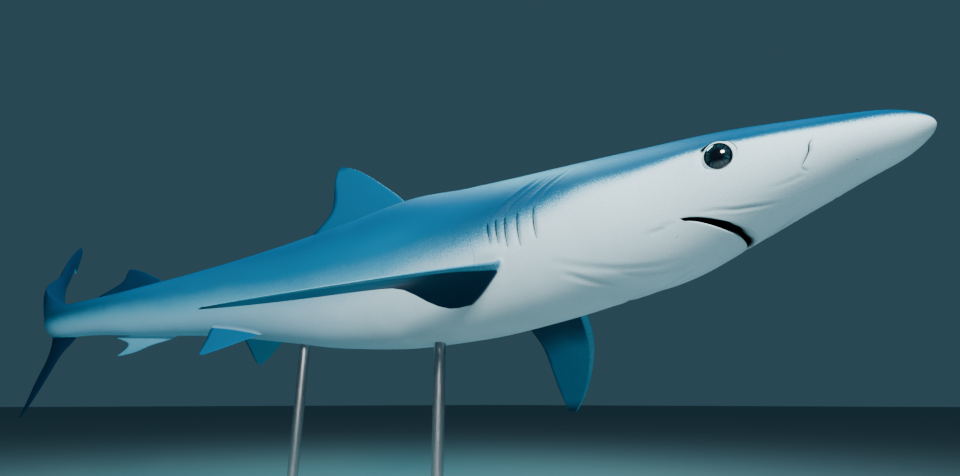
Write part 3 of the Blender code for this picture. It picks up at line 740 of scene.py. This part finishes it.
def setFinMarks(vert, layers, fin, share, out, face):
    tip = out / fin["reach"]
    first = finForm["marginFrom"]
    behind, end = (max(0.0, v - first) / (1 - first) for v in (share, tip))
    least, behindShare, endShare = fin["duskyMarginAndShade"]
    above = fin["above"][1 - face] + fin.get("rise", 0.0) * tip
    duskyMarginAndShade = max(least, behind * behindShare, end * endShare)
    if fin is fins["pectoral"]:
        if face == 0 and share > 0.5:
            above += 1.2
        # painted shade on the underside, darkest near the body
        if face < 0:  # the underside is dusky by the body
            duskyMarginAndShade = max(duskyMarginAndShade, 1.5 - 2.0 * tip)
        # painted highlight: the leading edge is painted pale where the light catches it
        if share < 0.1:  # and the leading edge is pale
            above, duskyMarginAndShade = 0.5, 0.0
    vert[layers["above"]] = above
    vert[layers["duskyMarginAndShade"]] = duskyMarginAndShade
    vert[layers["onFin"]] = min(1.0, tip / finForm["fadeIn"])


def closeTip(bm, ring, corner, tip):
    edges = [bm.edges.get((corner[(ring, row)], corner[(ring, (row + 1) % rows)])) for row in range(rows)]
    face = bmesh.ops.contextual_create(bm, geom=edges)["faces"]
    made = bmesh.ops.poke(bm, faces=face)
    made["verts"][0].co = tip
    return made["verts"][0]


# soft folds: (station, turn) along each, then half width, depth, and how dark the painted shade in the
# crease is
folds = (
    (((9.1, -45.5), (8.23, -51.4), (7.48, -59.4), (7, -63.5), (6.55, -68), (5.9, -74.5)),
     0.1, 0.045, 0.55),
    (((4.55, -47), (4.61, -53.8), (5.03, -55.5), (5.48, -55), (6.2, -52)), 0.1, 0.016, 0.2),
    (((10.12, -44.5), (10.5, -44.3), (10.98, -45.3), (11.4, -45.1), (12, -44.9)), 0.1, 0.035, 0.55),
    (((4.5, -43.5), (4.52, -47.5), (4.42, -52)), 0.07, 0.035, 0.6),
    (((8.75, -8), (8.9, 0.5), (8.75, 8.5), (8.35, 14.5), (7.6, 17.5)), 0.1, 0.03, 0.1),
    (slits["nostril"]["path"], 0.11, 0.03, 0.34),
    (((22.72, -3.5), (21.96, 1), (21.4, 6.5), (20.6, 13.5), (19.37, 25.9)), 0.16, 0.1, 0.36),
    (((21.97, -2.5), (21.11, 3), (20.7, 9.5), (19.9, 19), (18.89, 31.1)), 0.16, 0.11, 0.38),
    (((21.13, -2), (20.45, 3), (19.9, 9), (19, 18), (17.98, 31.5)), 0.16, 0.11, 0.36),
    (((20.06, -1.5), (19.6, 5), (19, 12.5), (18.2, 21.5), (17.3, 32)), 0.15, 0.095, 0.34),
    (((18.7, -1), (18.45, 6), (17.94, 15.4), (17.23, 24.8), (16.5, 35)), 0.15, 0.09, 0.32),
    (((17.6, -52), (16.75, -59.3), (15.57, -71.2), (14.32, -82)), 0.2, 0.05, 0.16),
    (((14.4, -66), (13.16, -75.9), (11.69, -84), (10.4, -86)), 0.16, 0.05, 0.18),
    (((17.9, -42), (17.24, -46), (14.94, -58.7), (12.86, -69.4), (10.97, -77)), 0.2, 0.045, 0.14),
    # the shoulder over the pectoral fin's root
    (((21, -28), (22.2, -23.8), (23.3, -22.6), (24.5, -25), (25.6, -29)), 0.42, -0.11, 0),
) + tuple((path, 0.2, 0.085, 0.3) for path in gillPaths())


# where folds lie, how far off a fold still shows, its raised banks and the width of its line of painted
# shade
foldForm = {"stations": (3, 24), "reach": 6, "bank": 0.3, "bankAt": 1.9, "line": 0.8}


def pressFolds(mesh):
    # presses the folds into the fine skin on both sides and paints shade along their creases
    bm = bmesh.new()
    bm.from_mesh(mesh)
    bm.normal_update()
    names = {name: bm.verts.layers.float[name] for name in ("station", "onFin", "inside", "poresAndCreaseShade")}
    first, last = foldForm["stations"]
    verts = [v for v in bm.verts if v[names["onFin"]] + v[names["inside"]] < 0.1]
    verts = [v for v in verts if first < v[names["station"]] < last]
    where = np.array([v.co for v in verts]) / unit
    shift, dark = np.zeros(len(verts)), np.zeros(len(verts))
    for path, width, depth, shade in folds:
        knots, run = np.linspace(0.0, 1.0, len(path)), np.linspace(0.0, 1.0, 60)
        s, t = (curveThrough(knots, [p[k] for p in path])(run) for k in (0, 1))
        lateral, height = sectionPoint(s, t)
        for side in (1, -1):
            line = placed(s, side * lateral, height) / unit
            near = np.flatnonzero(np.abs(where - line.mean(0)).max(1) < foldForm["reach"])
            away = np.linalg.norm(where[near, None, :] - line[None, :, :], axis=2)
            share = np.sin(math.pi * np.clip(run[away.argmin(1)], 0.02, 0.98)) ** 0.7
            away = away.min(1) / width
            bank = foldForm["bank"] * np.exp(-((away - foldForm["bankAt"]) ** 2))
            shift[near] -= (np.exp(-(away**2)) - bank) * depth * share
            # painted shade along the crease
            dark[near] = np.maximum(dark[near], shade * share * np.exp(-((away / foldForm["line"]) ** 2)))
    for vert, push, shade in zip(verts, shift, dark):
        vert.co += vert.normal * (push * unit)
        vert[names["poresAndCreaseShade"]] = shade
    bm.to_mesh(mesh)
    bm.free()


def buildSkin():
    bm, corner, faceAt, layers, keys = layCage()
    bm.normal_update()
    inside = Vector(placed(40.0, 0.0, 0.0))
    sample = corner[(int(np.abs(ringAt - 40).argmin()), rows // 4)]
    sign = 1.0 if (sample.co - inside).dot(sample.normal) > 0 else -1.0
    normals = {key: vert.normal * sign for key, vert in corner.items()}
    openMouth(bm, faceAt, layers, keys)
    for side in (1, -1):
        openEye(bm, faceAt, layers, keys, side)
        for slit in slits.values():
            openSlit(bm, faceAt, layers, keys, slit, side, normals)
    for patch in patches:
        growFin(bm, faceAt, layers, keys, patch)
    nose = closeTip(bm, 0, corner, placed(shark["snout"], 0.0, liftAt(shark["snout"])))
    nose[layers["above"]] = -0.2
    tailEnd = placed(cage["lastRing"] + 0.1, 0.0, shark["lobe"][-1][2])
    end = closeTip(bm, len(ringAt) - 1, corner, tailEnd)
    end[layers["above"]] = 3.0
    bmesh.ops.recalc_face_normals(bm, faces=bm.faces)
    cageObject = newObject("skinCage", bm)
    smooth = cageObject.modifiers.new("smooth", "SUBSURF")
    smooth.levels = smooth.render_levels = 1
    evaluated = cageObject.evaluated_get(bpy.context.evaluated_depsgraph_get())
    fine = bpy.data.meshes.new_from_object(evaluated)
    bpy.data.objects.remove(cageObject)
    pressFolds(fine)
    fine.name = "skin"
    fine.shade_smooth()
    return addObject("skin", fine)


skin = buildSkin()
print("skin:", sum(len(p.vertices) - 2 for p in skin.data.polygons), "triangles")


# ---- shader helpers
def plug(tree, node, name, value):
    if isinstance(value, bpy.types.NodeSocket):
        tree.links.new(value, node.inputs[name])
    else:
        node.inputs[name].default_value = value


def newNode(tree, kind, values=(), **settings):
    made = tree.nodes.new(kind)
    for name, value in settings.items():
        setattr(made, name, value)
    for name, value in values:
        plug(tree, made, name, value)
    return made


def combine(tree, operation, a, b):
    return newNode(tree, "ShaderNodeMath", ((0, a), (1, b)), operation=operation).outputs[0]


def times(tree, a, b):
    return combine(tree, "MULTIPLY", a, b)


def scaled(tree, vector, factor):
    values = ((0, vector), ("Scale", factor))
    return newNode(tree, "ShaderNodeVectorMath", values, operation="SCALE").outputs[0]


def spread(tree, value, low, high, toLow=0.0, toHigh=1.0):
    # smooth step of a value between two limits
    names = ("Value", "From Min", "From Max", "To Min", "To Max")
    values = zip(names, (value, low, high, toLow, toHigh))
    return newNode(tree, "ShaderNodeMapRange", values, interpolation_type="SMOOTHSTEP").outputs["Result"]


def blendColor(tree, factor, a, b):
    a, b = (v if isinstance(v, bpy.types.NodeSocket) else (*v, 1.0) for v in (a, b))
    return newNode(tree, "ShaderNodeMix", ((0, factor), (6, a), (7, b)), data_type="RGBA").outputs[2]


def readMark(tree, name):
    return newNode(tree, "ShaderNodeAttribute", attribute_name=name).outputs["Fac"]


def noiseAt(tree, vector, scale, detail=2.0, rough=0.5, output="Fac"):
    values = (("Vector", vector), ("Scale", scale), ("Detail", detail), ("Roughness", rough))
    return newNode(tree, "ShaderNodeTexNoise", values).outputs[output]


def objectPlace(tree):
    return newNode(tree, "ShaderNodeTexCoord").outputs["Object"]


def startMaterial(name, **constants):
    material = bpy.data.materials.new(name)
    material.use_nodes = True
    shader = material.node_tree.nodes["Principled BSDF"]
    for key, value in constants.items():
        shader.inputs[key.replace("_", " ")].default_value = value
    return material, material.node_tree, shader


def makeGroup(name, inputs, outputs):
    group = bpy.data.node_groups.new(name, "ShaderNodeTree")
    for label, kind, value in inputs:
        socket = group.interface.new_socket(name=label, in_out="INPUT", socket_type=kind)
        if value is not None:
            socket.default_value = value
    for label, kind in outputs:
        group.interface.new_socket(name=label, in_out="OUTPUT", socket_type=kind)
    return group, group.nodes.new("NodeGroupInput"), group.nodes.new("NodeGroupOutput")


def makeGrainGroup():
    # fine even grain over slow cloudiness, for skin, lacquer and steel alike
    group, given, result = makeGroup(
        "grain",
        (("Vector", "NodeSocketVector", None), ("Fine Scale", "NodeSocketFloat", 900.0),
         ("Cloud Scale", "NodeSocketFloat", 14.0), ("Cloud Share", "NodeSocketFloat", 0.4)),
        (("Value", "NodeSocketFloat"), ("Fine", "NodeSocketFloat"), ("Cloud", "NodeSocketFloat")),
    )
    fine = noiseAt(group, given.outputs["Vector"], given.outputs["Fine Scale"], 2.0, 0.6)
    cloud = noiseAt(group, given.outputs["Vector"], given.outputs["Cloud Scale"], 4.0, 0.55)
    cloudPart = times(group, cloud, given.outputs["Cloud Share"])
    rest = combine(group, "SUBTRACT", 1.0, given.outputs["Cloud Share"])
    mixed = combine(group, "ADD", cloudPart, times(group, fine, rest))
    for name, value in (("Value", mixed), ("Fine", fine), ("Cloud", cloud)):
        plug(group, result, name, value)
    return group


grainGroup = makeGrainGroup()


def grain(tree, vector, fineScale, cloudScale, cloudShare):
    values = (("Vector", vector), ("Fine Scale", fineScale), ("Cloud Scale", cloudScale),
              ("Cloud Share", cloudShare))
    return newNode(tree, "ShaderNodeGroup", values, node_tree=grainGroup).outputs


def texturedLook(tree, shader, look, texture, color):
    # colour, the texture's roughness between two limits, and its fine relief
    plug(tree, shader, "Base Color", color)
    plug(tree, shader, "Roughness", spread(tree, texture["Value"], 0.3, 0.7, *look["roughness"]))
    if "relief" in look:
        strength, distance = look["relief"]
        values = (("Height", texture["Fine"]), ("Strength", strength), ("Distance", distance))
        plug(tree, shader, "Normal", newNode(tree, "ShaderNodeBump", values).outputs["Normal"])


def twoToneMaterial(name, look, stretch=None, **constants):
    material, tree, shader = startMaterial(name, **constants)
    place = objectPlace(tree)
    if stretch:
        place = newNode(tree, "ShaderNodeMapping", (("Vector", place), ("Scale", stretch))).outputs[0]
    texture = grain(tree, place, *look["grain"])
    color = blendColor(tree, texture["Value"], look["dark"], look["light"])
    texturedLook(tree, shader, look, texture, color)
    return material


skinLook = {
    "white": (0.54, 0.74, 0.8),
    # painted shade that turns the white blue-grey along the body behind the gills
    "paintedRearShade": (0.11, 0.38, 0.54),
    # the back's tones, and between which levels above its edge with the white each sets in
    "tones": (((0.06, 0.32, 0.46), -1, 0.6), ((0.005, 0.13, 0.26), 0, 1.6),
              ((0.002, 0.07, 0.16), 1.5, 4), ((0.002, 0.06, 0.12), 4.5, 8)),
    # painted shade for the band along the white, then the dusk
    "paintedShadeBand": (0.002, 0.035, 0.09), "dusk": (0.001, 0.008, 0.028),
    # painted shade in recesses, then the colour of pores and of the painted shade in creases
    "paintedRecessShade": (0.004, 0.006, 0.01), "poresAndCreaseShade": (0.04, 0.11, 0.17),
    "grain": (620, 9, 0.45), "roughness": (0.42, 0.6), "relief": (0.3, 0.0006),
    # where along the body the painted rear shade, the painted shade band and the dusk change, and between
    # which strengths
    "paintedRearShadeAt": (24, 60, 0, 0.85), "paintedShadeBandAt": (20, 36, 0.75, 0), "duskAt": (60, 82, 0, 0.7),
    # the same across the edge with the white, for the painted shade band's lower and upper side and the
    # dusk
    "paintedShadeBandLow": (-0.2, 1), "paintedShadeBandHigh": (1.8, 4.5, 1, 0), "duskLow": (0, 1.5),
    "duskyMarginAndShade": (0.45, 1, 0, 0.85), "inside": (0.05, 0.6), "stipple": 2.2, "ragged": 0.4,
    "shade": (0.3, 0.7, 0.86, 1.08),
    # pores: how many per metre, how far they stray, the size of the largest and how dark they are
    "poreScale": 60, "poreStray": (160, 0.004), "poreSize": 0.055, "poreShade": 0.75,
}


def poreMask(tree, place):
    # pores and small scars, sparse all over
    strayScale, stray = skinLook["poreStray"]
    shift = scaled(tree, noiseAt(tree, place, strayScale, output="Color"), stray)
    moved = newNode(tree, "ShaderNodeVectorMath", ((0, place), (1, shift)), operation="ADD")
    values = (("Vector", moved.outputs[0]), ("Scale", skinLook["poreScale"]))
    dots = newNode(tree, "ShaderNodeTexVoronoi", values).outputs
    chosen = newNode(tree, "ShaderNodeSeparateColor", ((0, dots["Color"]),)).outputs[0]
    size = spread(tree, chosen, 0.50, 1.0, 0.0, skinLook["poreSize"])
    return combine(tree, "LESS_THAN", dots["Distance"], size)


def skinMaterial(look):
    material, tree, shader = startMaterial("sharkSkin", Specular_IOR_Level=0.05)
    place = objectPlace(tree)
    texture = grain(tree, place, *look["grain"])
    cloud, fine = (combine(tree, "SUBTRACT", texture[name], 0.5) for name in ("Cloud", "Fine"))
    level = combine(tree, "ADD", readMark(tree, "above"), cloud)
    level = combine(tree, "ADD", level, times(tree, fine, look["stipple"]))
    station = readMark(tree, "station")
    # painted shade: a darker band along the white on the head and neck, but not on the fins
    paintedShadeBand = times(tree, spread(tree, level, *look["paintedShadeBandLow"]), spread(tree, level, *look["paintedShadeBandHigh"]))
    paintedShadeBand = times(tree, paintedShadeBand, spread(tree, station, *look["paintedShadeBandAt"]))
    paintedShadeBand = times(tree, paintedShadeBand, combine(tree, "SUBTRACT", 1.0, readMark(tree, "onFin")))
    # dusky towards the tail and along the fins' edges
    dusk = times(tree, spread(tree, station, *look["duskAt"]), spread(tree, level, *look["duskLow"]))
    duskyMarginAndShade = combine(tree, "ADD", readMark(tree, "duskyMarginAndShade"), times(tree, cloud, look["ragged"]))
    # painted shade greys the white towards the rear, then the back's tones
    coats = [(spread(tree, station, *look["paintedRearShadeAt"]), look["paintedRearShade"])]
    coats += [(spread(tree, level, low, high), tone) for tone, low, high in look["tones"]]
    coats += [
        (paintedShadeBand, look["paintedShadeBand"]),
        (dusk, look["dusk"]),
        (spread(tree, duskyMarginAndShade, *look["duskyMarginAndShade"]), look["dusk"]),
        (times(tree, poreMask(tree, place), look["poreShade"]), look["poresAndCreaseShade"]),
        # painted shade in the folds' creases
        (readMark(tree, "poresAndCreaseShade"), look["poresAndCreaseShade"]),
        # painted shade in the mouth, eye sockets, nostrils and gill slits
        (spread(tree, readMark(tree, "inside"), *look["inside"]), look["paintedRecessShade"]),
    ]
    color = look["white"]
    for share, tone in coats:
        color = blendColor(tree, share, color, tone)
    color = scaled(tree, color, spread(tree, texture["Value"], *look["shade"]))
    texturedLook(tree, shader, look, texture, color)
    return material


fleshNodes = [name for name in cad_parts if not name.startswith(("eye_", "stand_"))]
finishPiece(skin, skinMaterial(skinLook), fleshNodes)


# ---- eyes
# where across the eye the soft edges of pupil and rim lie, and how close its streaks are
eyeLook = {
    "pupil": (0.28, 0.48), "rim": (0.55, 0.6), "dark": (0.001, 0.002, 0.004),
    "teal": (0.012, 0.055, 0.075),
    "streaks": (("spokeX", 7), ("spokeY", 7), ("ring", 2.5)), "streakEdge": (0.42, 0.68),
}


def eyeMaterial():
    coat = {"Coat_Weight": 0.6, "Coat_Roughness": 0.02}
    material, tree, shader = startMaterial("eyeball", Roughness=0.10, **coat)
    ring = readMark(tree, "ring")
    place = [times(tree, readMark(tree, mark), stretch) for mark, stretch in eyeLook["streaks"]]
    spoke = newNode(tree, "ShaderNodeCombineXYZ", enumerate(place)).outputs[0]
    streaks = spread(tree, noiseAt(tree, spoke, 1.0, 4.0, 0.65), *eyeLook["streakEdge"])
    iris = blendColor(tree, streaks, eyeLook["dark"], eyeLook["teal"])
    color = blendColor(tree, spread(tree, ring, *eyeLook["pupil"]), eyeLook["dark"], iris)
    color = blendColor(tree, spread(tree, ring, *eyeLook["rim"]), color, eyeLook["dark"])
    plug(tree, shader, "Base Color", color)
    return material


def buildEye(side, material):
    centre, axis = eyeFrame(side)[:2]
    hand = "right" if side > 0 else "left"
    radius = eye["radius"] * unit
    bm = bmesh.new()
    bmesh.ops.create_uvsphere(bm, u_segments=64, v_segments=48, radius=radius)
    ringLayer, spokeX, spokeY = (bm.verts.layers.float.new(name) for name in ("ring", "spokeX", "spokeY"))
    for vert in bm.verts:
        ring = math.hypot(vert.co.x, vert.co.y) / radius
        vert[ringLayer] = ring if vert.co.z > 0 else 1.0
        vert[spokeX] = vert.co.x / max(ring * radius, 1e-6)
        vert[spokeY] = vert.co.y / max(ring * radius, 1e-6)
    turnTo = Vector((0, 0, 1)).rotation_difference(axis).to_matrix()
    bmesh.ops.transform(bm, matrix=turnTo.to_4x4(), verts=bm.verts)
    bmesh.ops.translate(bm, verts=bm.verts, vec=centre)
    ball = newObject(f"eyeball_{hand}", bm)
    ball.data.shade_smooth()
    finishPiece(ball, material, [f"eye_{hand}"])


eyeGloss = eyeMaterial()
for side in (1, -1):
    buildEye(side, eyeGloss)
print("eyes done")

# ---- teeth and stand
def buildHardPiece(name, bm, material, node, sharp=35.0):
    bmesh.ops.recalc_face_normals(bm, faces=bm.faces)
    piece = newObject(name, bm)
    piece.data.shade_smooth()
    piece.data.set_sharp_from_angle(angle=math.radians(sharp))
    finishPiece(piece, material, [node])


# a row of teeth, longer and shorter in turn, along the front of the lower jaw
teeth = {
    "count": 26, "used": 15, "length": 0.19, "radius": 0.055, "point": 0.006, "inward": 0.07,
    "lift": 0.03, "behindLip": 0.06, "rake": 0.05, "smaller": 0.35, "sizes": (-0.06, 0.12),
    "dark": (0.62, 0.62, 0.57), "light": (0.78, 0.78, 0.74), "grain": (900, 120, 0.5),
    "roughness": (0.22, 0.36),
}


def buildTeeth():
    stations, turns = lipPath(*mouth["lower"], teeth["count"])
    bm = bmesh.new()
    for side in (1, -1):
        for k in range(0 if side > 0 else 1, teeth["used"]):
            s = stations[k] + teeth["behindLip"]
            lateral, height = (float(v) for v in sectionPoint(s, float(turns[k])))
            lateral *= side * (1.0 - teeth["inward"] * min(1.0, k / 6))
            height += teeth["lift"]
            size = 1.0 - teeth["smaller"] * (k / teeth["used"]) + teeth["sizes"][k % 2]
            foot = Vector(placed(s, lateral, height))
            tip = Vector(placed(s + teeth["rake"], lateral * 0.985, height + teeth["length"] * size))
            cone = bmesh.ops.create_cone(
                bm, cap_ends=True, segments=10, radius1=teeth["radius"] * unit * size,
                radius2=teeth["point"] * unit, depth=(tip - foot).length,
            )["verts"]
            turnTo = Vector((0, 0, 1)).rotation_difference(tip - foot).to_matrix()
            bmesh.ops.rotate(bm, verts=cone, matrix=turnTo, cent=(0, 0, 0))
            bmesh.ops.translate(bm, verts=cone, vec=(tip + foot) / 2)
    return bm


enamel = twoToneMaterial("toothEnamel", teeth, Coat_Weight=0.4, Coat_Roughness=0.1)
buildHardPiece("teeth", buildTeeth(), enamel, "lower_jaw", 60.0)

plinth = {
    "corner": 0.05, "edge": 0.004, "dark": (0.018, 0.018, 0.019), "light": (0.032, 0.032, 0.034),
    "grain": (340, 9, 0.6), "roughness": (0.32, 0.46), "relief": (0.1, 0.0003),
}
rod = {
    "radius": 0.011, "tip": 0.002, "flange": 0.034, "flangeHeight": 0.008, "flangeEdge": 0.003,
    "dark": (0.5, 0.51, 0.52), "light": (0.66, 0.67, 0.68), "grain": (1500, 30, 0.3),
    "roughness": (0.24, 0.38), "relief": (0.12, 0.0002),
}


def buildPlinth():
    low, high = (Vector(c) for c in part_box("stand_base"))
    bm = bmesh.new()
    bmesh.ops.create_cube(bm, size=1.0)
    bmesh.ops.scale(bm, verts=bm.verts, vec=high - low)
    bmesh.ops.translate(bm, verts=bm.verts, vec=(low + high) / 2)
    edges = [e for e in bm.edges if abs(e.verts[0].co.z - e.verts[1].co.z) > 0.01]
    for offset, segments in ((plinth["corner"], 14), (plinth["edge"], 4)):
        bmesh.ops.bevel(bm, geom=edges, offset=offset, segments=segments, profile=0.5, affect="EDGES",
                        material=-1)
        edges = [e for e in bm.edges if min(v.co.z for v in e.verts) > high.z - 1e-6]
    lacquer = twoToneMaterial("blackLacquer", plinth, Coat_Weight=0.5, Coat_Roughness=0.15)
    buildHardPiece("plinth", bm, lacquer, "stand_base")


def buildRod(place, material):
    low, high = (Vector(c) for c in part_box(f"stand_rod_{place}"))
    middle = (low + high) / 2
    shoulder = low.z + rod["flangeHeight"]
    edge, tip = rod["flangeEdge"], rod["tip"]
    # radius and height up the flange and the rod
    profile = ((rod["flange"], shoulder - edge), (rod["flange"] - edge, shoulder),
               (rod["radius"] + edge, shoulder), (rod["radius"], shoulder + edge),
               (rod["radius"], high.z - tip), (rod["radius"] - tip, high.z))
    bm = bmesh.new()
    circle = bmesh.ops.create_circle(bm, cap_ends=True, radius=rod["flange"], segments=48)
    bmesh.ops.translate(bm, verts=circle["verts"], vec=(middle.x, middle.y, low.z))
    faces = list(bm.faces)
    for step, (radius, z) in enumerate(profile):
        made = bmesh.ops.extrude_face_region(bm, geom=faces)["geom"]
        if step:
            bmesh.ops.delete(bm, geom=faces, context="FACES")
        faces = [g for g in made if isinstance(g, bmesh.types.BMFace)]
        for vert in faces[0].verts:
            arm = Vector((vert.co.x - middle.x, vert.co.y - middle.y, 0.0)).normalized()
            vert.co = Vector((middle.x, middle.y, z)) + arm * radius
    buildHardPiece(f"rod_{place}", bm, material, f"stand_rod_{place}")


buildPlinth()
steel = twoToneMaterial("brushedSteel", rod, (1.0, 1.0, 0.02), Metallic=1.0)
for place in ("front", "rear"):
    buildRod(place, steel)
print("teeth and stand done")


# ---- floor, light and camera
studio = {
    "floorSize": 60, "floor": (0.3, 0.34, 0.355, 1),
    "world": (0.18, 0.44, 0.6, 1), "worldStrength": 0.16,
    # power, place, target, size and colour of each lamp
    "lamps": {
        "key": (58, (1.3, -1.12, 1.3), (0.35, 0, 0.6), 0.4, (1, 1, 1)),
        "sky": (88, (-0.45, 0.35, 2.5), (-0.25, 0, 0.6), 1, (0.3, 0.9, 1)),
    },
    "lens": 19.79, "sensor": 36, "nearest": 0.02,
    "camera": (0.9558, -0.597, 0.3714), "turned": (math.pi / 2 + 0.30197, 0, 0.81439),
}


def buildFloor():
    bm = bmesh.new()
    bmesh.ops.create_grid(bm, x_segments=1, y_segments=1, size=studio["floorSize"])
    floor = newObject("studioFloor", bm)
    floor.data.materials.append(startMaterial("paleFloor", Roughness=0.9, Base_Color=studio["floor"])[0])


def addLamp(name, energy, position, target, size, color):
    data = bpy.data.lights.new(name, "AREA")
    data.energy, data.color = energy, color
    data.shape, data.size = "DISK", size
    lamp = addObject(name, data)
    lamp.location = position
    lamp.rotation_euler = (Vector(target) - Vector(position)).to_track_quat("-Z", "Y").to_euler()


def buildCamera():
    data = bpy.data.cameras.new("camera")
    data.lens, data.sensor_width, data.clip_start = studio["lens"], studio["sensor"], studio["nearest"]
    camera = addObject("camera", data)
    camera.location = studio["camera"]
    camera.rotation_euler = studio["turned"]
    bpy.context.scene.camera = camera


buildFloor()
world = bpy.data.worlds.new("studio")
world.use_nodes = True
background = world.node_tree.nodes["Background"].inputs
background["Color"].default_value = studio["world"]
background["Strength"].default_value = studio["worldStrength"]
bpy.context.scene.world = world
for name, lamp in studio["lamps"].items():
    addLamp(name, *lamp)
buildCamera()
print("stage done")
